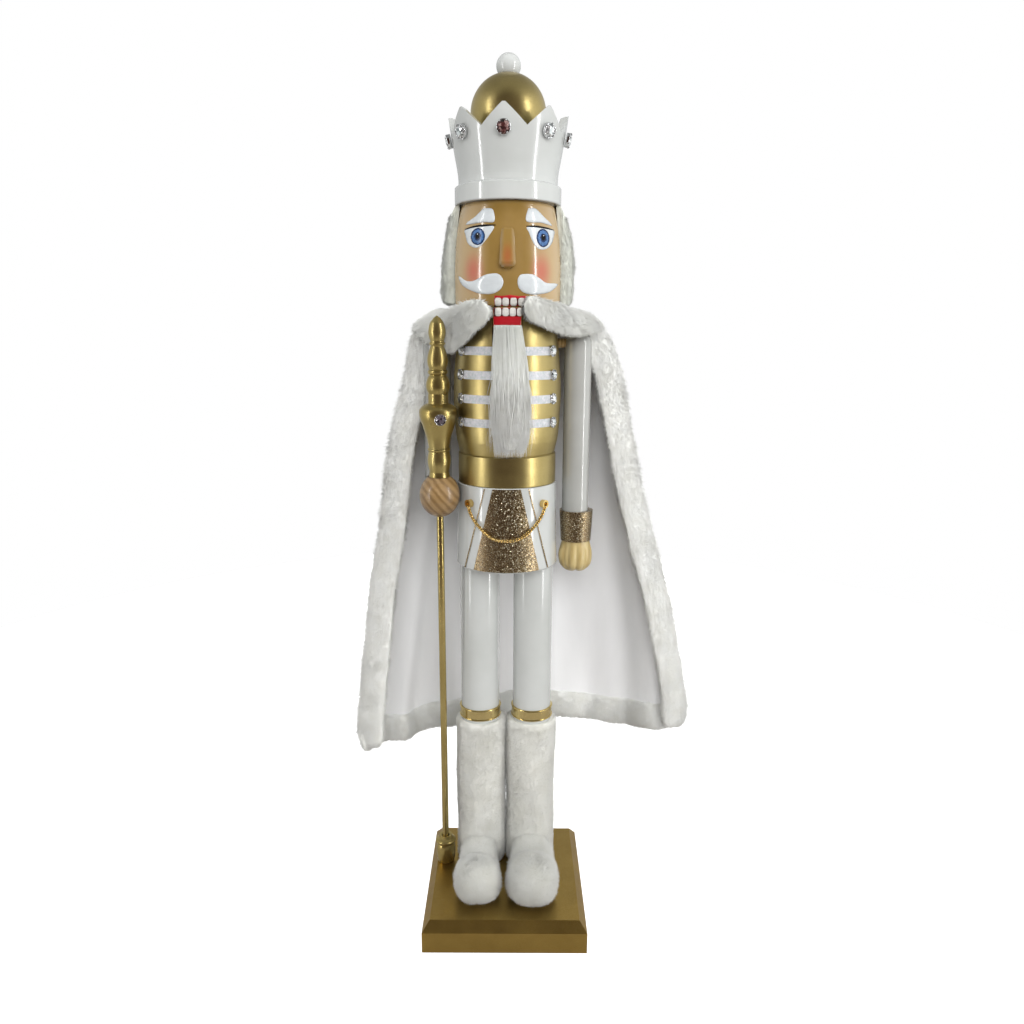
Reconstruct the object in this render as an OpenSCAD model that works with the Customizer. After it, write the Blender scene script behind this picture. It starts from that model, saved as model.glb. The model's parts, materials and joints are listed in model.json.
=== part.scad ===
// Tall standing nutcracker king in a fur-trimmed cape, holding a staff.
// Millimetres, +Z up. The origin is the centre of the base's underside.
// The figure faces -Y, and its own vertical axis stands behind the middle of the base.

/* [Base] */
// Width of the base block
base_w = 176; // [160:1:200]
// Depth of the base block
base_d = 183; // [170:1:200]
// Height of the base block
base_h = 34; // [28:1:40]
// Width of the bevel round the top of the base
base_bevel = 8; // [4:1:12]
// How far the figure's axis stands behind the middle of the base
axis_y = 31; // [26:1:36]

/* [Legs] */
// Radius of a leg
leg_r = 21.7; // [20:0.1:23]
// Distance of each leg from the middle
leg_x = 29.5; // [29:0.1:31]
// Height of the hip block's underside above the floor
hip_z = 400; // [390:1:410]
// Height of the top of the boots above the floor
boot_z = 212; // [190:1:230]

/* [Body] */
// Height of the hip block
hip_h = 90; // [80:1:100]
// Height of the belt
belt_h = 32; // [26:1:36]
// Height of the chest block
chest_h = 149; // [145:1:150]
// Height of the head block
head_h = 100; // [98:1:110]
// Distance of each arm from the middle
arm_x = 75.5; // [74.5:0.1:77]
// Radius of a sleeve
sleeve_r = 14.6; // [13:0.1:14.7]

/* [Jaw] */
// Width of the jaw and its lever
jaw_w = 28; // [24:1:30]
// Angle that the jaw opens through, in degrees
jaw_open = 12; // [6:1:12]

/* [Staff] */
// Radius of the staff's rod
rod_r = 3.75; // [3:0.05:4]
// Angle that the staff leans forward, in degrees
staff_lean = 2.33; // [2:0.01:2.6]
// Distance of the staff's foot in front of the figure's axis
staff_y = 11.4; // [10:0.1:13]
// Distance of the staff's foot to the side of the figure's axis
staff_x = 70.5; // [70:0.1:72]

/* [Chain] */
// Diameter of the rope chain on the skirt
chain_d = 4; // [3:0.5:4]

/* [Hidden] */
$fn = 64;
eps = 0.01;
belt_z = hip_z + hip_h;
chest_z = belt_z + belt_h;
head_z = chest_z + chest_h;
crown_z = head_z + head_h;
arm_y = 14;             // the arms hang a little behind the axis
pivot_y = 20;           // the jaw lever's pin, behind the axis
pivot_z = head_z - 11;
pin_r = 2.5;
dowel_r = 5;
fit_gap = 0.05;         // running clearance on the pin
glue_gap = 0.02;        // room for glue round a dowel
jaw_top = head_z - 0.5;
jaw_bottom = head_z - 20;
staff_hand_s = 445.5;   // distances along the staff from the top of the base
staff_seat_s = 465.3;
cape_top = 653;
cape_t = 3;             // half the thickness of the cape's cloth and lining
trim_t = 5;             // half the thickness of its fur bands

// ---- helpers ----

// A point on the smooth curve through four neighbouring points.
function spline(a, b, c, d, t) =
    0.5 * (2 * b + (c - a) * t + (2 * a - 5 * b + 4 * c - d) * t * t
        + (3 * b - a - 3 * c + d) * t * t * t);

// A smooth line through a list of points, with n steps between neighbours.
function smooth(p, n = 4) = let (last = len(p) - 1)
    concat([for (i = [0:last - 1], k = [0:n - 1])
        spline(p[max(i - 1, 0)], p[i], p[i + 1], p[min(i + 2, last)], k / n)], [p[last]]);

// An arc as a list of points: centre, radius, start and end angle.
function arc(c, r, from, to, n = 8) =
    [for (i = [0:n]) c + r * [cos(from + (to - from) * i / n), sin(from + (to - from) * i / n)]];

function shift(p, by) = [for (q = p) q + by];
function reverse(p) = [for (i = [len(p) - 1:-1:0]) p[i]];
function unit(v) = v / norm(v);

// Moves its children to the figure's own axis.
module on_axis() translate([0, axis_y, 0]) children();

// The staff's own frame: its foot on the base, +Z along the leaning rod.
module on_staff() on_axis() translate([-staff_x, -staff_y, base_h]) rotate([staff_lean, 0, 0]) children();

// A turned solid from an outline of [radius, height] points, closed along its axis.
module turned(outline) rotate_extrude($fn = 96)
    polygon(concat([[0, outline[0][1]]], outline, [[0, outline[len(outline) - 1][1]]]));

// A thin turned skin outside an outline.
module skin(outline, t) rotate_extrude($fn = 96)
    polygon(concat(outline, reverse(shift(outline, [t, 0]))));

// A solid between two faces of points, given as rows that run the same way.
// Rows are lists of the same length; the two faces are joined along all four edges.
module slab(front, back) {
    rows = len(front);
    cols = len(front[0]);
    half = rows * cols;
    pts = concat([for (r = front) each r], [for (r = back) each r]);
    function at(i, j) = i * cols + j;
    faces = concat(
        [for (i = [0:rows - 2], j = [0:cols - 2]) each [
            [at(i, j), at(i, j + 1), at(i + 1, j + 1)], [at(i, j), at(i + 1, j + 1), at(i + 1, j)]]],
        [for (i = [0:rows - 2], j = [0:cols - 2]) each [
            [half + at(i, j), half + at(i + 1, j + 1), half + at(i, j + 1)],
            [half + at(i, j), half + at(i + 1, j), half + at(i + 1, j + 1)]]],
        [for (j = [0:cols - 2]) each [
            [at(0, j), half + at(0, j), at(0, j + 1)], [at(0, j + 1), half + at(0, j), half + at(0, j + 1)],
            [at(rows - 1, j), at(rows - 1, j + 1), half + at(rows - 1, j)],
            [at(rows - 1, j + 1), half + at(rows - 1, j + 1), half + at(rows - 1, j)]]],
        [for (i = [0:rows - 2]) each [
            [at(i, 0), at(i + 1, 0), half + at(i, 0)], [at(i + 1, 0), half + at(i + 1, 0), half + at(i, 0)],
            [at(i, cols - 1), half + at(i, cols - 1), at(i + 1, cols - 1)],
            [at(i + 1, cols - 1), half + at(i, cols - 1), half + at(i + 1, cols - 1)]]]);
    polyhedron(pts, faces);
}

// A round cord along a list of points: one ring to each point.
module cord(route, r, sides = 10) {
    n = len(route);
    rings = [for (i = [0:n - 1])
        let (t = unit(route[min(i + 1, n - 1)] - route[max(i - 1, 0)]),
             u = unit(cross(t, [0, 1, 0])), v = cross(t, u))
        for (k = [0:sides - 1]) route[i] + r * (cos(360 * k / sides) * u + sin(360 * k / sides) * v)];
    faces = concat([[for (k = [0:sides - 1]) k]],
        [for (i = [0:n - 2], k = [0:sides - 1]) let (m = (k + 1) % sides) each [
            [i * sides + k, (i + 1) * sides + k, (i + 1) * sides + m],
            [i * sides + k, (i + 1) * sides + m, i * sides + m]]],
        [[for (k = [sides - 1:-1:0]) (n - 1) * sides + k]]);
    polyhedron(rings, faces);
}

// ---- outlines of the turned blocks, as [radius, height] ----

hip_outline = [[54, hip_z], [55.1, hip_z + 1.5], [53.1, belt_z - 0.8], [52.3, belt_z]];
belt_outline = concat([[51.2, belt_z], [52.1, belt_z + 1]], [[52.3, belt_z + belt_h / 2]],
    [[52.1, chest_z - 1], [51.2, chest_z]]);
chest_curve = smooth([[50.6, chest_z], [51.6, chest_z + 4], [54.8, chest_z + 21], [56.5, chest_z + 54],
    [56.2, chest_z + 79], [52.8, chest_z + 116], [50.6, chest_z + 134]], 3);
chest_outline = concat(chest_curve, [[49.6, chest_z + 144], [47.6, head_z]]);
head_outline = concat([[52.4, head_z]],
    smooth([[53.6, head_z + 1.5], [54.9, head_z + 8], [55.3, head_z + 36], [53.4, head_z + 68],
    [49.6, head_z + 90], [47.6, crown_z - 1.6]], 3), [[46.4, crown_z]]);
crown_outline = concat([[53, crown_z], [53.8, crown_z + 0.8], [53.8, crown_z + 16.2], [53, crown_z + 17]],
    smooth([[50.2, crown_z + 18.5], [50, crown_z + 24], [51, crown_z + 33], [52.3, crown_z + 40],
    [54.5, crown_z + 52], [58, crown_z + 72], [59.7, crown_z + 84]], 3));
crown_wall = 7.6;
cup_floor_z = crown_z + 52;
dome_r = 37.5;
dome_z = cup_floor_z + 35;
ball_r = 12.1;
ball_z = dome_z + dome_r + 6.1;

module chest_solid() turned(chest_outline);
module hip_solid() turned(hip_outline);
module crown_solid() difference() {
    turned(crown_outline);
    rotate_extrude($fn = 96) polygon(concat([[0, cup_floor_z], [43, cup_floor_z],
        [45.5, cup_floor_z + 4]], [[59.7 - crown_wall, crown_z + 84 + eps], [0, crown_z + 84 + eps]]));
    for (i = [0:7]) rotate([0, 0, 45 * i + 22.5 - 4]) rotate([90, 0, 0]) linear_extrude(80)
        polygon([[0, crown_z + 65], [22.6, crown_z + 85], [-22.6, crown_z + 85]]);
}
module staff_ball() on_staff() turned(concat(
    [for (a = [-90:10:50]) [21.3 * cos(a), staff_hand_s + 23.5 * sin(a)]], [[11.5, staff_seat_s]]));

// ---- base and legs ----

module base() color("goldenrod") difference() {
    intersection() {
        rotate([90, 0, 0]) linear_extrude(base_d, center = true) polygon([[-base_w / 2, 0],
            [base_w / 2, 0], [base_w / 2, base_h - 10.5], [base_w / 2 - base_bevel, base_h],
            [base_bevel - base_w / 2, base_h], [-base_w / 2, base_h - 10.5]]);
        rotate([90, 0, 90]) linear_extrude(base_w, center = true) polygon([[-base_d / 2, 0],
            [base_d / 2, 0], [base_d / 2, base_h - 10.5], [base_d / 2 - base_bevel, base_h],
            [base_bevel - base_d / 2, base_h], [-base_d / 2, base_h - 10.5]]);
    }
    on_axis() for (side = [-1, 1]) translate([side * leg_x, 0, base_h - 20])
        cylinder(r = dowel_r + glue_gap, h = 30);
}

foot_top = base_h + 22;
module foot(side) color("tan") on_axis() translate([side * leg_x, 0, base_h]) difference() {
    union() {
        cylinder(r = leg_r, h = foot_top - base_h);
        translate([-15, -74, 0]) cube([30, 74, foot_top - base_h]);
        translate([0, -74, 0]) cylinder(r = 15, h = foot_top - base_h);
    }
    translate([0, 0, -1]) cylinder(r = dowel_r + glue_gap, h = 40);
}
module left_foot() foot(-1);
module right_foot() foot(1);

module leg(side) color("white") on_axis() translate([side * leg_x, 0, 0]) difference() {
    translate([0, 0, foot_top]) cylinder(r = leg_r, h = hip_z - foot_top);
    translate([0, 0, foot_top - 1]) cylinder(r = dowel_r + glue_gap, h = 31);
    translate([0, 0, hip_z - 25]) cylinder(r = dowel_r + glue_gap, h = 30);
}
module left_leg() leg(-1);
module right_leg() leg(1);

module leg_dowels() color("burlywood") on_axis() for (side = [-1, 1]) translate([side * leg_x, 0, 0]) {
    translate([0, 0, base_h - 20]) cylinder(r = dowel_r, h = 20 + foot_top - base_h + 30);
    translate([0, 0, hip_z - 25]) cylinder(r = dowel_r, h = 50);
}

// Fur sleeve round a leg, open below for the foot.
module boot_fur(side) color("ivory") on_axis() translate([side * leg_x, 0, 0]) difference() {
    translate([0, 0, base_h]) cylinder(r1 = 26.3, r2 = 28, h = boot_z - base_h);
    translate([0, 0, base_h - 1]) cylinder(r = leg_r + 0.1, h = boot_z);
    translate([-15.1, -40, base_h - 1]) cube([30.2, 40, foot_top - base_h + 1.2]);
}
module left_boot_fur() boot_fur(-1);
module right_boot_fur() boot_fur(1);

// Round fur toe with a short neck back to the boot, hollow for the foot.
module toe_fur(side, r, y) color("ivory") on_axis() translate([side * (leg_x + 1), 0, base_h]) difference() {
    intersection() {
        union() {
            translate([0, -y, r * 0.94]) sphere(r = r);
            translate([0, -20, r * 0.94]) rotate([90, 0, 0]) cylinder(r = r - 2.5, h = y - 20);
        }
        translate([-50, -150, 0]) cube([100, 150, 100]);
    }
    translate([-side, 0, -1]) cylinder(r1 = 26.5, r2 = 27.8, h = 80);
    translate([-side - 15.1, -74, -1]) cube([30.2, 74, foot_top - base_h + 1.1]);
    translate([-side, -74, -1]) cylinder(r = 15.1, h = foot_top - base_h + 1.1);
}
module left_toe_fur() toe_fur(-1, 25.6, 77);
module right_toe_fur() toe_fur(1, 28, 79);

module boot_band(side) color("gold") on_axis() translate([side * leg_x, 0, boot_z + 5]) difference() {
    cylinder(r = leg_r + 1.2, h = 13);
    translate([0, 0, -1]) cylinder(r = leg_r + glue_gap, h = 15);
}
module left_boot_band() boot_band(-1);
module right_boot_band() boot_band(1);

// ---- body ----

module hip_block() color("white") on_axis() difference() {
    hip_solid();
    for (side = [-1, 1]) translate([side * leg_x, 0, hip_z - 5]) cylinder(r = dowel_r + glue_gap, h = 30);
    translate([0, 0, belt_z - 20]) cylinder(r = 8 + glue_gap, h = 30);
}

hip_side = [[55.1, hip_z + 1.5], [53.1, belt_z - 0.8]];
module skirt_panel() color("goldenrod") on_axis() intersection() {
    skin(hip_side, 0.9);
    rotate([90, 0, 0]) linear_extrude(80)
        polygon([[-35, hip_z], [35, hip_z], [14.5, belt_z], [-14.5, belt_z]]);
}
module skirt_edging() color("goldenrod") on_axis() intersection() {
    skin(hip_side, 0.7);
    rotate([90, 0, 0]) linear_extrude(80) for (side = [-1, 1])
        polygon([[side * 44, hip_z], [side * 45.2, hip_z], [side * 23.2, belt_z], [side * 22, belt_z]]);
}

// Route of the chain, left to right, as it lies on the skirt.
chain_route = smooth([[-40, -10, 470], [-38, -12, 463], [-34, -15.5, 456], [-29, -18.5, 450],
    [-23, -21.5, 444], [-16, -24, 439], [-8, -26, 436.5], [0, -26.5, 436], [8, -26, 436.5],
    [16, -24, 439], [23, -21.5, 444], [29, -18.5, 450], [34, -15.5, 456], [38, -12, 463], [40, -10, 470]], 1);
module chain() color("gold") cord(chain_route, chain_d / 2);
module chain_eyelets() color("gold") on_axis() difference() {
    for (side = [-1, 1]) rotate([0, 0, 44.5 * side]) translate([0, -50, 472]) rotate([90, 0, 0])
        difference() {
            cylinder(r = 4.4, h = 8.2);
            translate([0, 0, 4]) cylinder(r = 2.4, h = 10);
        }
    hip_solid();
}

module belt() color("gold") on_axis() difference() {
    turned(belt_outline);
    translate([0, 0, belt_z - 5]) cylinder(r = 8 + glue_gap, h = belt_h + 10);
}
module waist_dowel() color("burlywood") on_axis() translate([0, 0, belt_z - 20])
    cylinder(r = 8, h = belt_h + 45);

// Room for the jaw lever: level behind the pin, sloping down to the front.
module lever_room() rotate([90, 0, 90]) linear_extrude(jaw_w + 2, center = true) polygon([
    [pivot_y, jaw_bottom - 1], [80, jaw_bottom - 1], [80, jaw_top + 20], [-80, jaw_top + 20],
    [-80, jaw_bottom - 1 - (pivot_y + 80) * tan(jaw_open + 0.6)]]);

module chest() color("gold") on_axis() difference() {
    chest_solid();
    lever_room();
    translate([-30, pivot_y, pivot_z]) rotate([0, 90, 0]) cylinder(r = pin_r + glue_gap, h = 55.5);
    translate([0, 0, chest_z - 5]) cylinder(r = 8 + glue_gap, h = 30);
    for (side = [-1, 1]) {
        translate([side * 32, -10, head_z - 16]) cylinder(r = 4 + glue_gap, h = 30);
        translate([side * 38, arm_y, head_z - 35]) rotate([0, 90 * side, 0])
            cylinder(r = dowel_r + glue_gap, h = 30);
    }
}
module lever_pin() color("silver") on_axis() translate([-25, pivot_y, pivot_z]) rotate([0, 90, 0])
    cylinder(r = pin_r, h = 50);

row_z = [for (i = [0:3]) chest_z + 34.5 + 24 * i];
module chest_braid() color("lavender") on_axis() intersection() {
    skin(chest_curve, 0.8);
    translate([-44, -80, 0]) for (z = row_z) translate([0, 0, z - 4.25]) cube([88, 80, 8.5]);
}
module chest_jewels() color("azure") on_axis() difference() {
    for (side = [-1, 1], z = row_z) rotate([0, 0, side * 55]) translate([0, -50, z])
        rotate([90, 0, 0]) cylinder(r = 4.6, h = z > chest_z + 90 ? 7 : 8.6);
    chest_solid();
    translate([-44, -80, chest_z]) cube([88, 80, chest_h]);
}

module shoulder_dowels() color("burlywood") on_axis() for (side = [-1, 1])
    translate([side * 38, arm_y, head_z - 35]) rotate([0, 90 * side, 0]) cylinder(r = dowel_r, h = 34);
module neck_dowels() color("burlywood") on_axis() for (side = [-1, 1])
    translate([side * 32, -10, head_z - 16]) cylinder(r = 4, h = 34);

// ---- head ----

module head() color("tan") on_axis() difference() {
    turned(head_outline);
    rotate([90, 0, 90]) linear_extrude(jaw_w + 2, center = true) polygon([[pivot_y - 4, head_z - 1],
        [80, head_z - 1], [80, head_z + 1 + (80 - pivot_y) * tan(jaw_open + 0.6)], [pivot_y - 4, head_z + 1]]);
    for (side = [-1, 1]) translate([side * 32, -10, head_z - 5]) cylinder(r = 4 + glue_gap, h = 23);
    translate([0, 0, crown_z - 16]) cylinder(r = 6 + glue_gap, h = 20);
}

// Wedge nose, wider and further forward at its rounded lower end.
module nose() color("tan") on_axis() difference() {
    hull() {
        for (side = [-1, 1]) translate([side * 2.8, -51, head_z + 71]) sphere(r = 3.5, $fn = 24);
        for (side = [-1, 1]) translate([side * 3.2, -59.5, head_z + 41.5]) sphere(r = 5, $fn = 24);
        translate([0, -50, head_z + 40]) sphere(r = 6, $fn = 24);
    }
    turned(head_outline);
}

// Hair round the sides and the back of the head, raised over the lever at the back.
module hair() color("ivory") on_axis() difference() {
    turned(concat([[68, head_z + 4]], smooth([[70, head_z + 8], [70, head_z + 38], [66, head_z + 68],
        [56, head_z + 95]], 3)));
    turned([for (p = head_outline) p + [0.3, 0]]);
    translate([-80, -100, head_z]) cube([160, 86, head_h]);
    translate([-20, 0, head_z]) cube([40, 80, 14]);
}

// ---- crown ----

module crown() color("white") on_axis() difference() {
    crown_solid();
    translate([0, 0, crown_z - 1]) cylinder(r = 6 + glue_gap, h = 20);
}
module crown_dowel() color("burlywood") on_axis() translate([0, 0, crown_z - 16]) cylinder(r = 6, h = 34);
module crown_jewels() color("azure") on_axis() difference() {
    for (i = [0:7]) rotate([0, 0, 45 * i - 4]) translate([0, -52, crown_z + 61.5]) rotate([90 - 13, 0, 0])
        cylinder(r = 7.2, h = 7.6);
    turned(crown_outline);
}
module crown_dome() color("gold") on_axis() difference() {
    translate([0, 0, dome_z]) sphere(r = dome_r, $fn = 96);
    translate([0, 0, cup_floor_z - 50]) cylinder(r = 60, h = 50);
}
module crown_ball() color("white") on_axis() difference() {
    translate([0, 0, ball_z]) sphere(r = ball_r);
    translate([0, 0, dome_z]) sphere(r = dome_r, $fn = 96);
}

// ---- arms ----

cuff_top = belt_z - 35;
cuff_bottom = belt_z - 69;
sleeve_top = head_z - 22;
module shoulder_hole(side) translate([side * 38, arm_y, head_z - 35]) rotate([0, 90 * side, 0])
    cylinder(r = dowel_r + glue_gap, h = 34);

module hanging_sleeve() color("white") on_axis() difference() {
    translate([arm_x, arm_y, cuff_top]) turned(concat([[sleeve_r, 0]],
        arc([0, sleeve_top - sleeve_r - cuff_top], sleeve_r, 0, 80), [[0.01, sleeve_top - cuff_top]]));
    shoulder_hole(1);
}
module hanging_cuff() color("goldenrod") on_axis() translate([arm_x + 1.5, arm_y, cuff_bottom])
    cylinder(r1 = 16.7, r2 = 18.5, h = cuff_top - cuff_bottom);
module hanging_hand() color("burlywood") on_axis() translate([arm_x + 1.5, arm_y, cuff_bottom])
    turned(smooth([[0.5, -37], [9, -34.5], [16, -27], [18.6, -17], [17.6, -8], [15.5, 0]], 3));

// Upper arm hanging down, with a short forearm forward to the staff.
elbow_z = base_h + staff_hand_s - 1;
module staff_sleeve() color("white") on_axis() difference() {
    union() {
        translate([-arm_x, arm_y, elbow_z]) turned(concat([[sleeve_r, 0]],
            arc([0, sleeve_top - sleeve_r - elbow_z], sleeve_r, 0, 80), [[0.01, sleeve_top - elbow_z]]));
        translate([-arm_x, arm_y, elbow_z]) sphere(r = sleeve_r);
    }
    shoulder_hole(-1);
    translate([-arm_x, arm_y - 6, elbow_z]) rotate([90, 0, 0]) cylinder(r = 18.6, h = 40);
}
module staff_cuff() color("goldenrod") difference() {
    on_axis() translate([-arm_x + 1, arm_y - 6, elbow_z]) rotate([90, 0, 0])
        cylinder(r1 = 16.5, r2 = 18.5, h = 17);
    staff_ball();
}
module staff_hand() color("burlywood") difference() {
    staff_ball();
    on_staff() translate([0, 0, staff_hand_s - 30]) cylinder(r = rod_r + 0.1, h = 60);
}

// ---- staff ----

module staff_ferrule() color("gold") difference() {
    on_axis() translate([-staff_x, -staff_y, 0]) turned(concat([[9, base_h], [10, base_h + 2]],
        smooth([[10.6, base_h + 5], [11.3, base_h + 13], [10.8, base_h + 20], [9.6, base_h + 23.5]], 3),
        arc([9.6, base_h + 27], 2.2, -70, 80, 6), [[8, base_h + 30.5], [7.4, base_h + 34]]));
    on_staff() translate([0, 0, 2]) cylinder(r = rod_r + 0.9, h = 60);
}
module staff_rod() color("gold") on_staff() translate([0, 0, 3]) cylinder(r = rod_r, h = staff_seat_s + 22);
// Half-profile of the finial: radius, then height above the ball hand.
finial_profile = concat([[10.8, 0.3], [10.6, 3.5]],
    smooth([[10.2, 5.5], [12.2, 17], [10.9, 26.5]], 4),
    arc([9.9, 29], 1.9, -60, 60, 4),
    smooth([[10.7, 31], [12.6, 41], [15.8, 51.5], [19.1, 61.5], [19.9, 67.2], [18.6, 71.5],
        [15, 74.5], [10.6, 76.6]], 3),
    [[10.3, 78], [10.3, 85]],
    smooth([[10.1, 86.5], [11.6, 90.5], [12.2, 94.5], [11.6, 99], [10, 103], [8.9, 104.6]], 2),
    arc([7.2, 108.2], 3, -60, 60, 4),
    smooth([[9, 112], [10.1, 115.5], [10.5, 120.5], [9.2, 127.3], [6.8, 133.8]], 3),
    arc([6.4, 136.5], 1.7, -60, 60, 4),
    smooth([[7, 139.3], [8.4, 144], [8.8, 149.3], [7, 156.7], [3.4, 161.7]], 3), [[0.4, 163.8]]);
finial_outline = [for (p = finial_profile) [p[0], staff_seat_s + p[1]]];
module staff_finial() color("gold") on_staff() difference() {
    turned(finial_outline);
    cylinder(r = rod_r + glue_gap, h = staff_seat_s + 25 + eps);
}
module staff_jewel() color("black") on_staff() difference() {
    rotate([0, 0, 10]) translate([0, -14, staff_seat_s + 62]) rotate([90, 0, 0]) cylinder(r = 6, h = 7.2);
    turned(finial_outline);
}

// ---- jaw and beard ----

// Jaw block in front, flat bar through the chest, handle down the back.
module jaw_lever() color("tan") on_axis() difference() {
    intersection() {
        union() {
            translate([-jaw_w / 2, -60, jaw_bottom]) cube([jaw_w, 60 + 70, jaw_top - jaw_bottom]);
            translate([-jaw_w / 2, 58, head_z - 76]) cube([jaw_w, 12, jaw_top - head_z + 76]);
            translate([0, 58, head_z - 76]) rotate([-90, 0, 0]) cylinder(r = jaw_w / 2, h = 12);
        }
        union() {
            cylinder(r = 55.2, h = head_z, $fn = 128);
            translate([-50, 0, 0]) cube([100, 100, head_z]);
        }
    }
    translate([-30, pivot_y, pivot_z]) rotate([0, 90, 0]) cylinder(r = pin_r + fit_gap, h = 60);
}

module beard() color("ivory") on_axis() intersection() {
    rotate([90, 0, 0]) linear_extrude(100) polygon([for (side = [1, -1])
        each let (edge = smooth([[14.5, head_z - 17.5], [17, head_z - 40], [20.5, head_z - 72],
            [21, head_z - 100], [17, head_z - 128], [9, head_z - 149]], 2))
        side > 0 ? edge : [for (p = reverse(edge)) [-p[0], p[1]]]]);
    rotate([90, 0, 90]) linear_extrude(100, center = true) polygon([[-56.8, head_z - 17.5],
        [-59.5, head_z - 35], [-61.5, head_z - 51], [-61.5, head_z - 149], [-67, head_z - 149],
        [-74, head_z - 110], [-75, head_z - 70], [-69, head_z - 17.5]]);
}

// ---- cape ----

// Half-widths, back depth, centre and wrap angles of the cape at each height.
left_w = [[165, 168], [209, 166], [276, 158], [369, 147], [439, 134], [507, 126], [547, 118],
    [600, 104], [653, 97]];
right_w = [[187, 215], [215, 211], [257, 203], [332, 187], [404, 165], [473, 146], [540, 131],
    [605, 116], [653, 98]];
back_y = [[165, 92], [400, 95], [600, 97], [653, 93]];
centre_y = [[165, 20], [400, 18], [653, 12]];
left_wrap = [[165, 105], [500, 100], [653, 92]];
right_wrap = [[165, 78], [500, 88], [653, 92]];
hem_z = [[-105, 172], [-40, 166], [0, 165], [40, 170], [78, 187]];

// A point of the cape's middle surface: u runs 0 to 1 from its left to its right
// front edge as it hangs, v runs 0 to 1 from the collar to the hem.
function cape_point(u, v) =
    let (rough = -105 + 183 * u,
         z = cape_top + (lookup(rough, hem_z) - cape_top) * v,
         a = -lookup(z, left_wrap) + (lookup(z, left_wrap) + lookup(z, right_wrap)) * u,
         w = a < 0 ? lookup(z, left_w) : lookup(z, right_w),
         c = lookup(z, centre_y))
    [w * sin(a), axis_y + c + (lookup(z, back_y) - c) * cos(a), z];
function cape_normal(u, v) = let (d = 0.01)
    unit(cross(cape_point(u + d, v) - cape_point(u - d, v), cape_point(u, v + d) - cape_point(u, v - d)));
function cape_face(us, vs, t) = [for (v = vs) [for (u = us) cape_point(u, v) + t * cape_normal(u, v)]];
module cape_piece(us, vs, t) slab(cape_face(us, vs, t), cape_face(us, vs, -t));

edge_u = 0.07;          // share of the cape's width taken by each front fur band
hem_v = 0.93;
seam_u = 0.001;         // gap at the seam between the cloth and each front band
panel_u = [for (i = [0:20]) edge_u + seam_u + (1 - 2 * (edge_u + seam_u)) * i / 20];
panel_v = [for (i = [0:8]) hem_v * i / 8];

module cape() color("whitesmoke") cape_piece(panel_u, panel_v, cape_t);
module cape_hem_trim() color("ivory") cape_piece(panel_u, [hem_v, 1], trim_t);
module cape_left_trim() color("ivory") cape_piece([0, edge_u], concat(panel_v, [1]), trim_t);
module cape_right_trim() color("ivory") cape_piece([1 - edge_u, 1], concat(panel_v, [1]), trim_t);

// Fur collar: a band over the shoulders and two ends in front of the chest.
module cape_collar() color("ivory") on_axis() difference() {
    union() {
        intersection() {
            translate([0, 0, cape_top + 0.5]) cylinder(r = 98, h = 18, $fn = 96);
            translate([-100, -14, 0]) cube([200, 120, head_z + 20]);
        }
        intersection() {
            translate([0, 0, head_z - 26]) cylinder(r = 64, h = 30, $fn = 96);
            translate([-70, -70, 0]) cube([140, 56 + eps, head_z + 20]);
        }
    }
    translate([0, 0, head_z - 40]) cylinder(r = 56, h = 60, $fn = 96);
    translate([-17.5, -80, 0]) cube([35, 80, head_z + 20]);
    translate([-18, 0, 0]) cube([36, 76, head_z + 20]);
}

base();
left_foot();
right_foot();
left_leg();
right_leg();
leg_dowels();
left_boot_fur();
right_boot_fur();
left_toe_fur();
right_toe_fur();
left_boot_band();
right_boot_band();
hip_block();
skirt_panel();
skirt_edging();
chain();
chain_eyelets();
belt();
waist_dowel();
chest();
chest_braid();
chest_jewels();
shoulder_dowels();
neck_dowels();
head();
nose();
hair();
crown();
crown_dowel();
crown_jewels();
crown_dome();
crown_ball();
hanging_sleeve();
hanging_cuff();
hanging_hand();
staff_sleeve();
staff_cuff();
staff_hand();
staff_ferrule();
staff_rod();
staff_finial();
staff_jewel();
jaw_lever();
lever_pin();
beard();
cape();
cape_collar();
cape_left_trim();
cape_right_trim();
cape_hem_trim();
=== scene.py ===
"""Looks of a standing nutcracker king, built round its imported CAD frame.

Metres, +Z up, origin at the centre of the base's underside. The figure faces -Y.
"""
import json
import math

import bpy
import numpy as np
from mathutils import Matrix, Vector
from mathutils.bvhtree import BVHTree
from mathutils.geometry import delaunay_2d_cdt
from mathutils.kdtree import KDTree


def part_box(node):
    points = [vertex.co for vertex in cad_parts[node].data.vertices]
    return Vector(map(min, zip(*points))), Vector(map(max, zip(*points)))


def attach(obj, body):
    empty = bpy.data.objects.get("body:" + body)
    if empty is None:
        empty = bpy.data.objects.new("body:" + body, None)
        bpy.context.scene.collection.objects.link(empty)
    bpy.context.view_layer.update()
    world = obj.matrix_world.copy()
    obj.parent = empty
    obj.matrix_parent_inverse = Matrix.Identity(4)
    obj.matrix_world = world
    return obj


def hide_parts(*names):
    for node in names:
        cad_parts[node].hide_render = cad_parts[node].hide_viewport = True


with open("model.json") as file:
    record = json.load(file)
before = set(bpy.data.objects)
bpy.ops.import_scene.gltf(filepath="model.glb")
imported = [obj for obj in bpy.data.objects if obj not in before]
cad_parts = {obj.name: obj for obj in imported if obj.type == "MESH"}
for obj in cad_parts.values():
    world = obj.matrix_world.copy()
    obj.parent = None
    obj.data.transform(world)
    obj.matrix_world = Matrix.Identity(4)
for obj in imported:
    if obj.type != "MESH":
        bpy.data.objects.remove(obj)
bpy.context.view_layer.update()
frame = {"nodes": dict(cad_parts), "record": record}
nodes = frame["nodes"]

MM = 0.001
UP = np.array([0.0, 0.0, 1.0])


def middle(node):
    low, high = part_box(node)
    return (low + high) / 2


def bottom(node):
    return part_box(node)[0].z


def top(node):
    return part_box(node)[1].z


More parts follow.
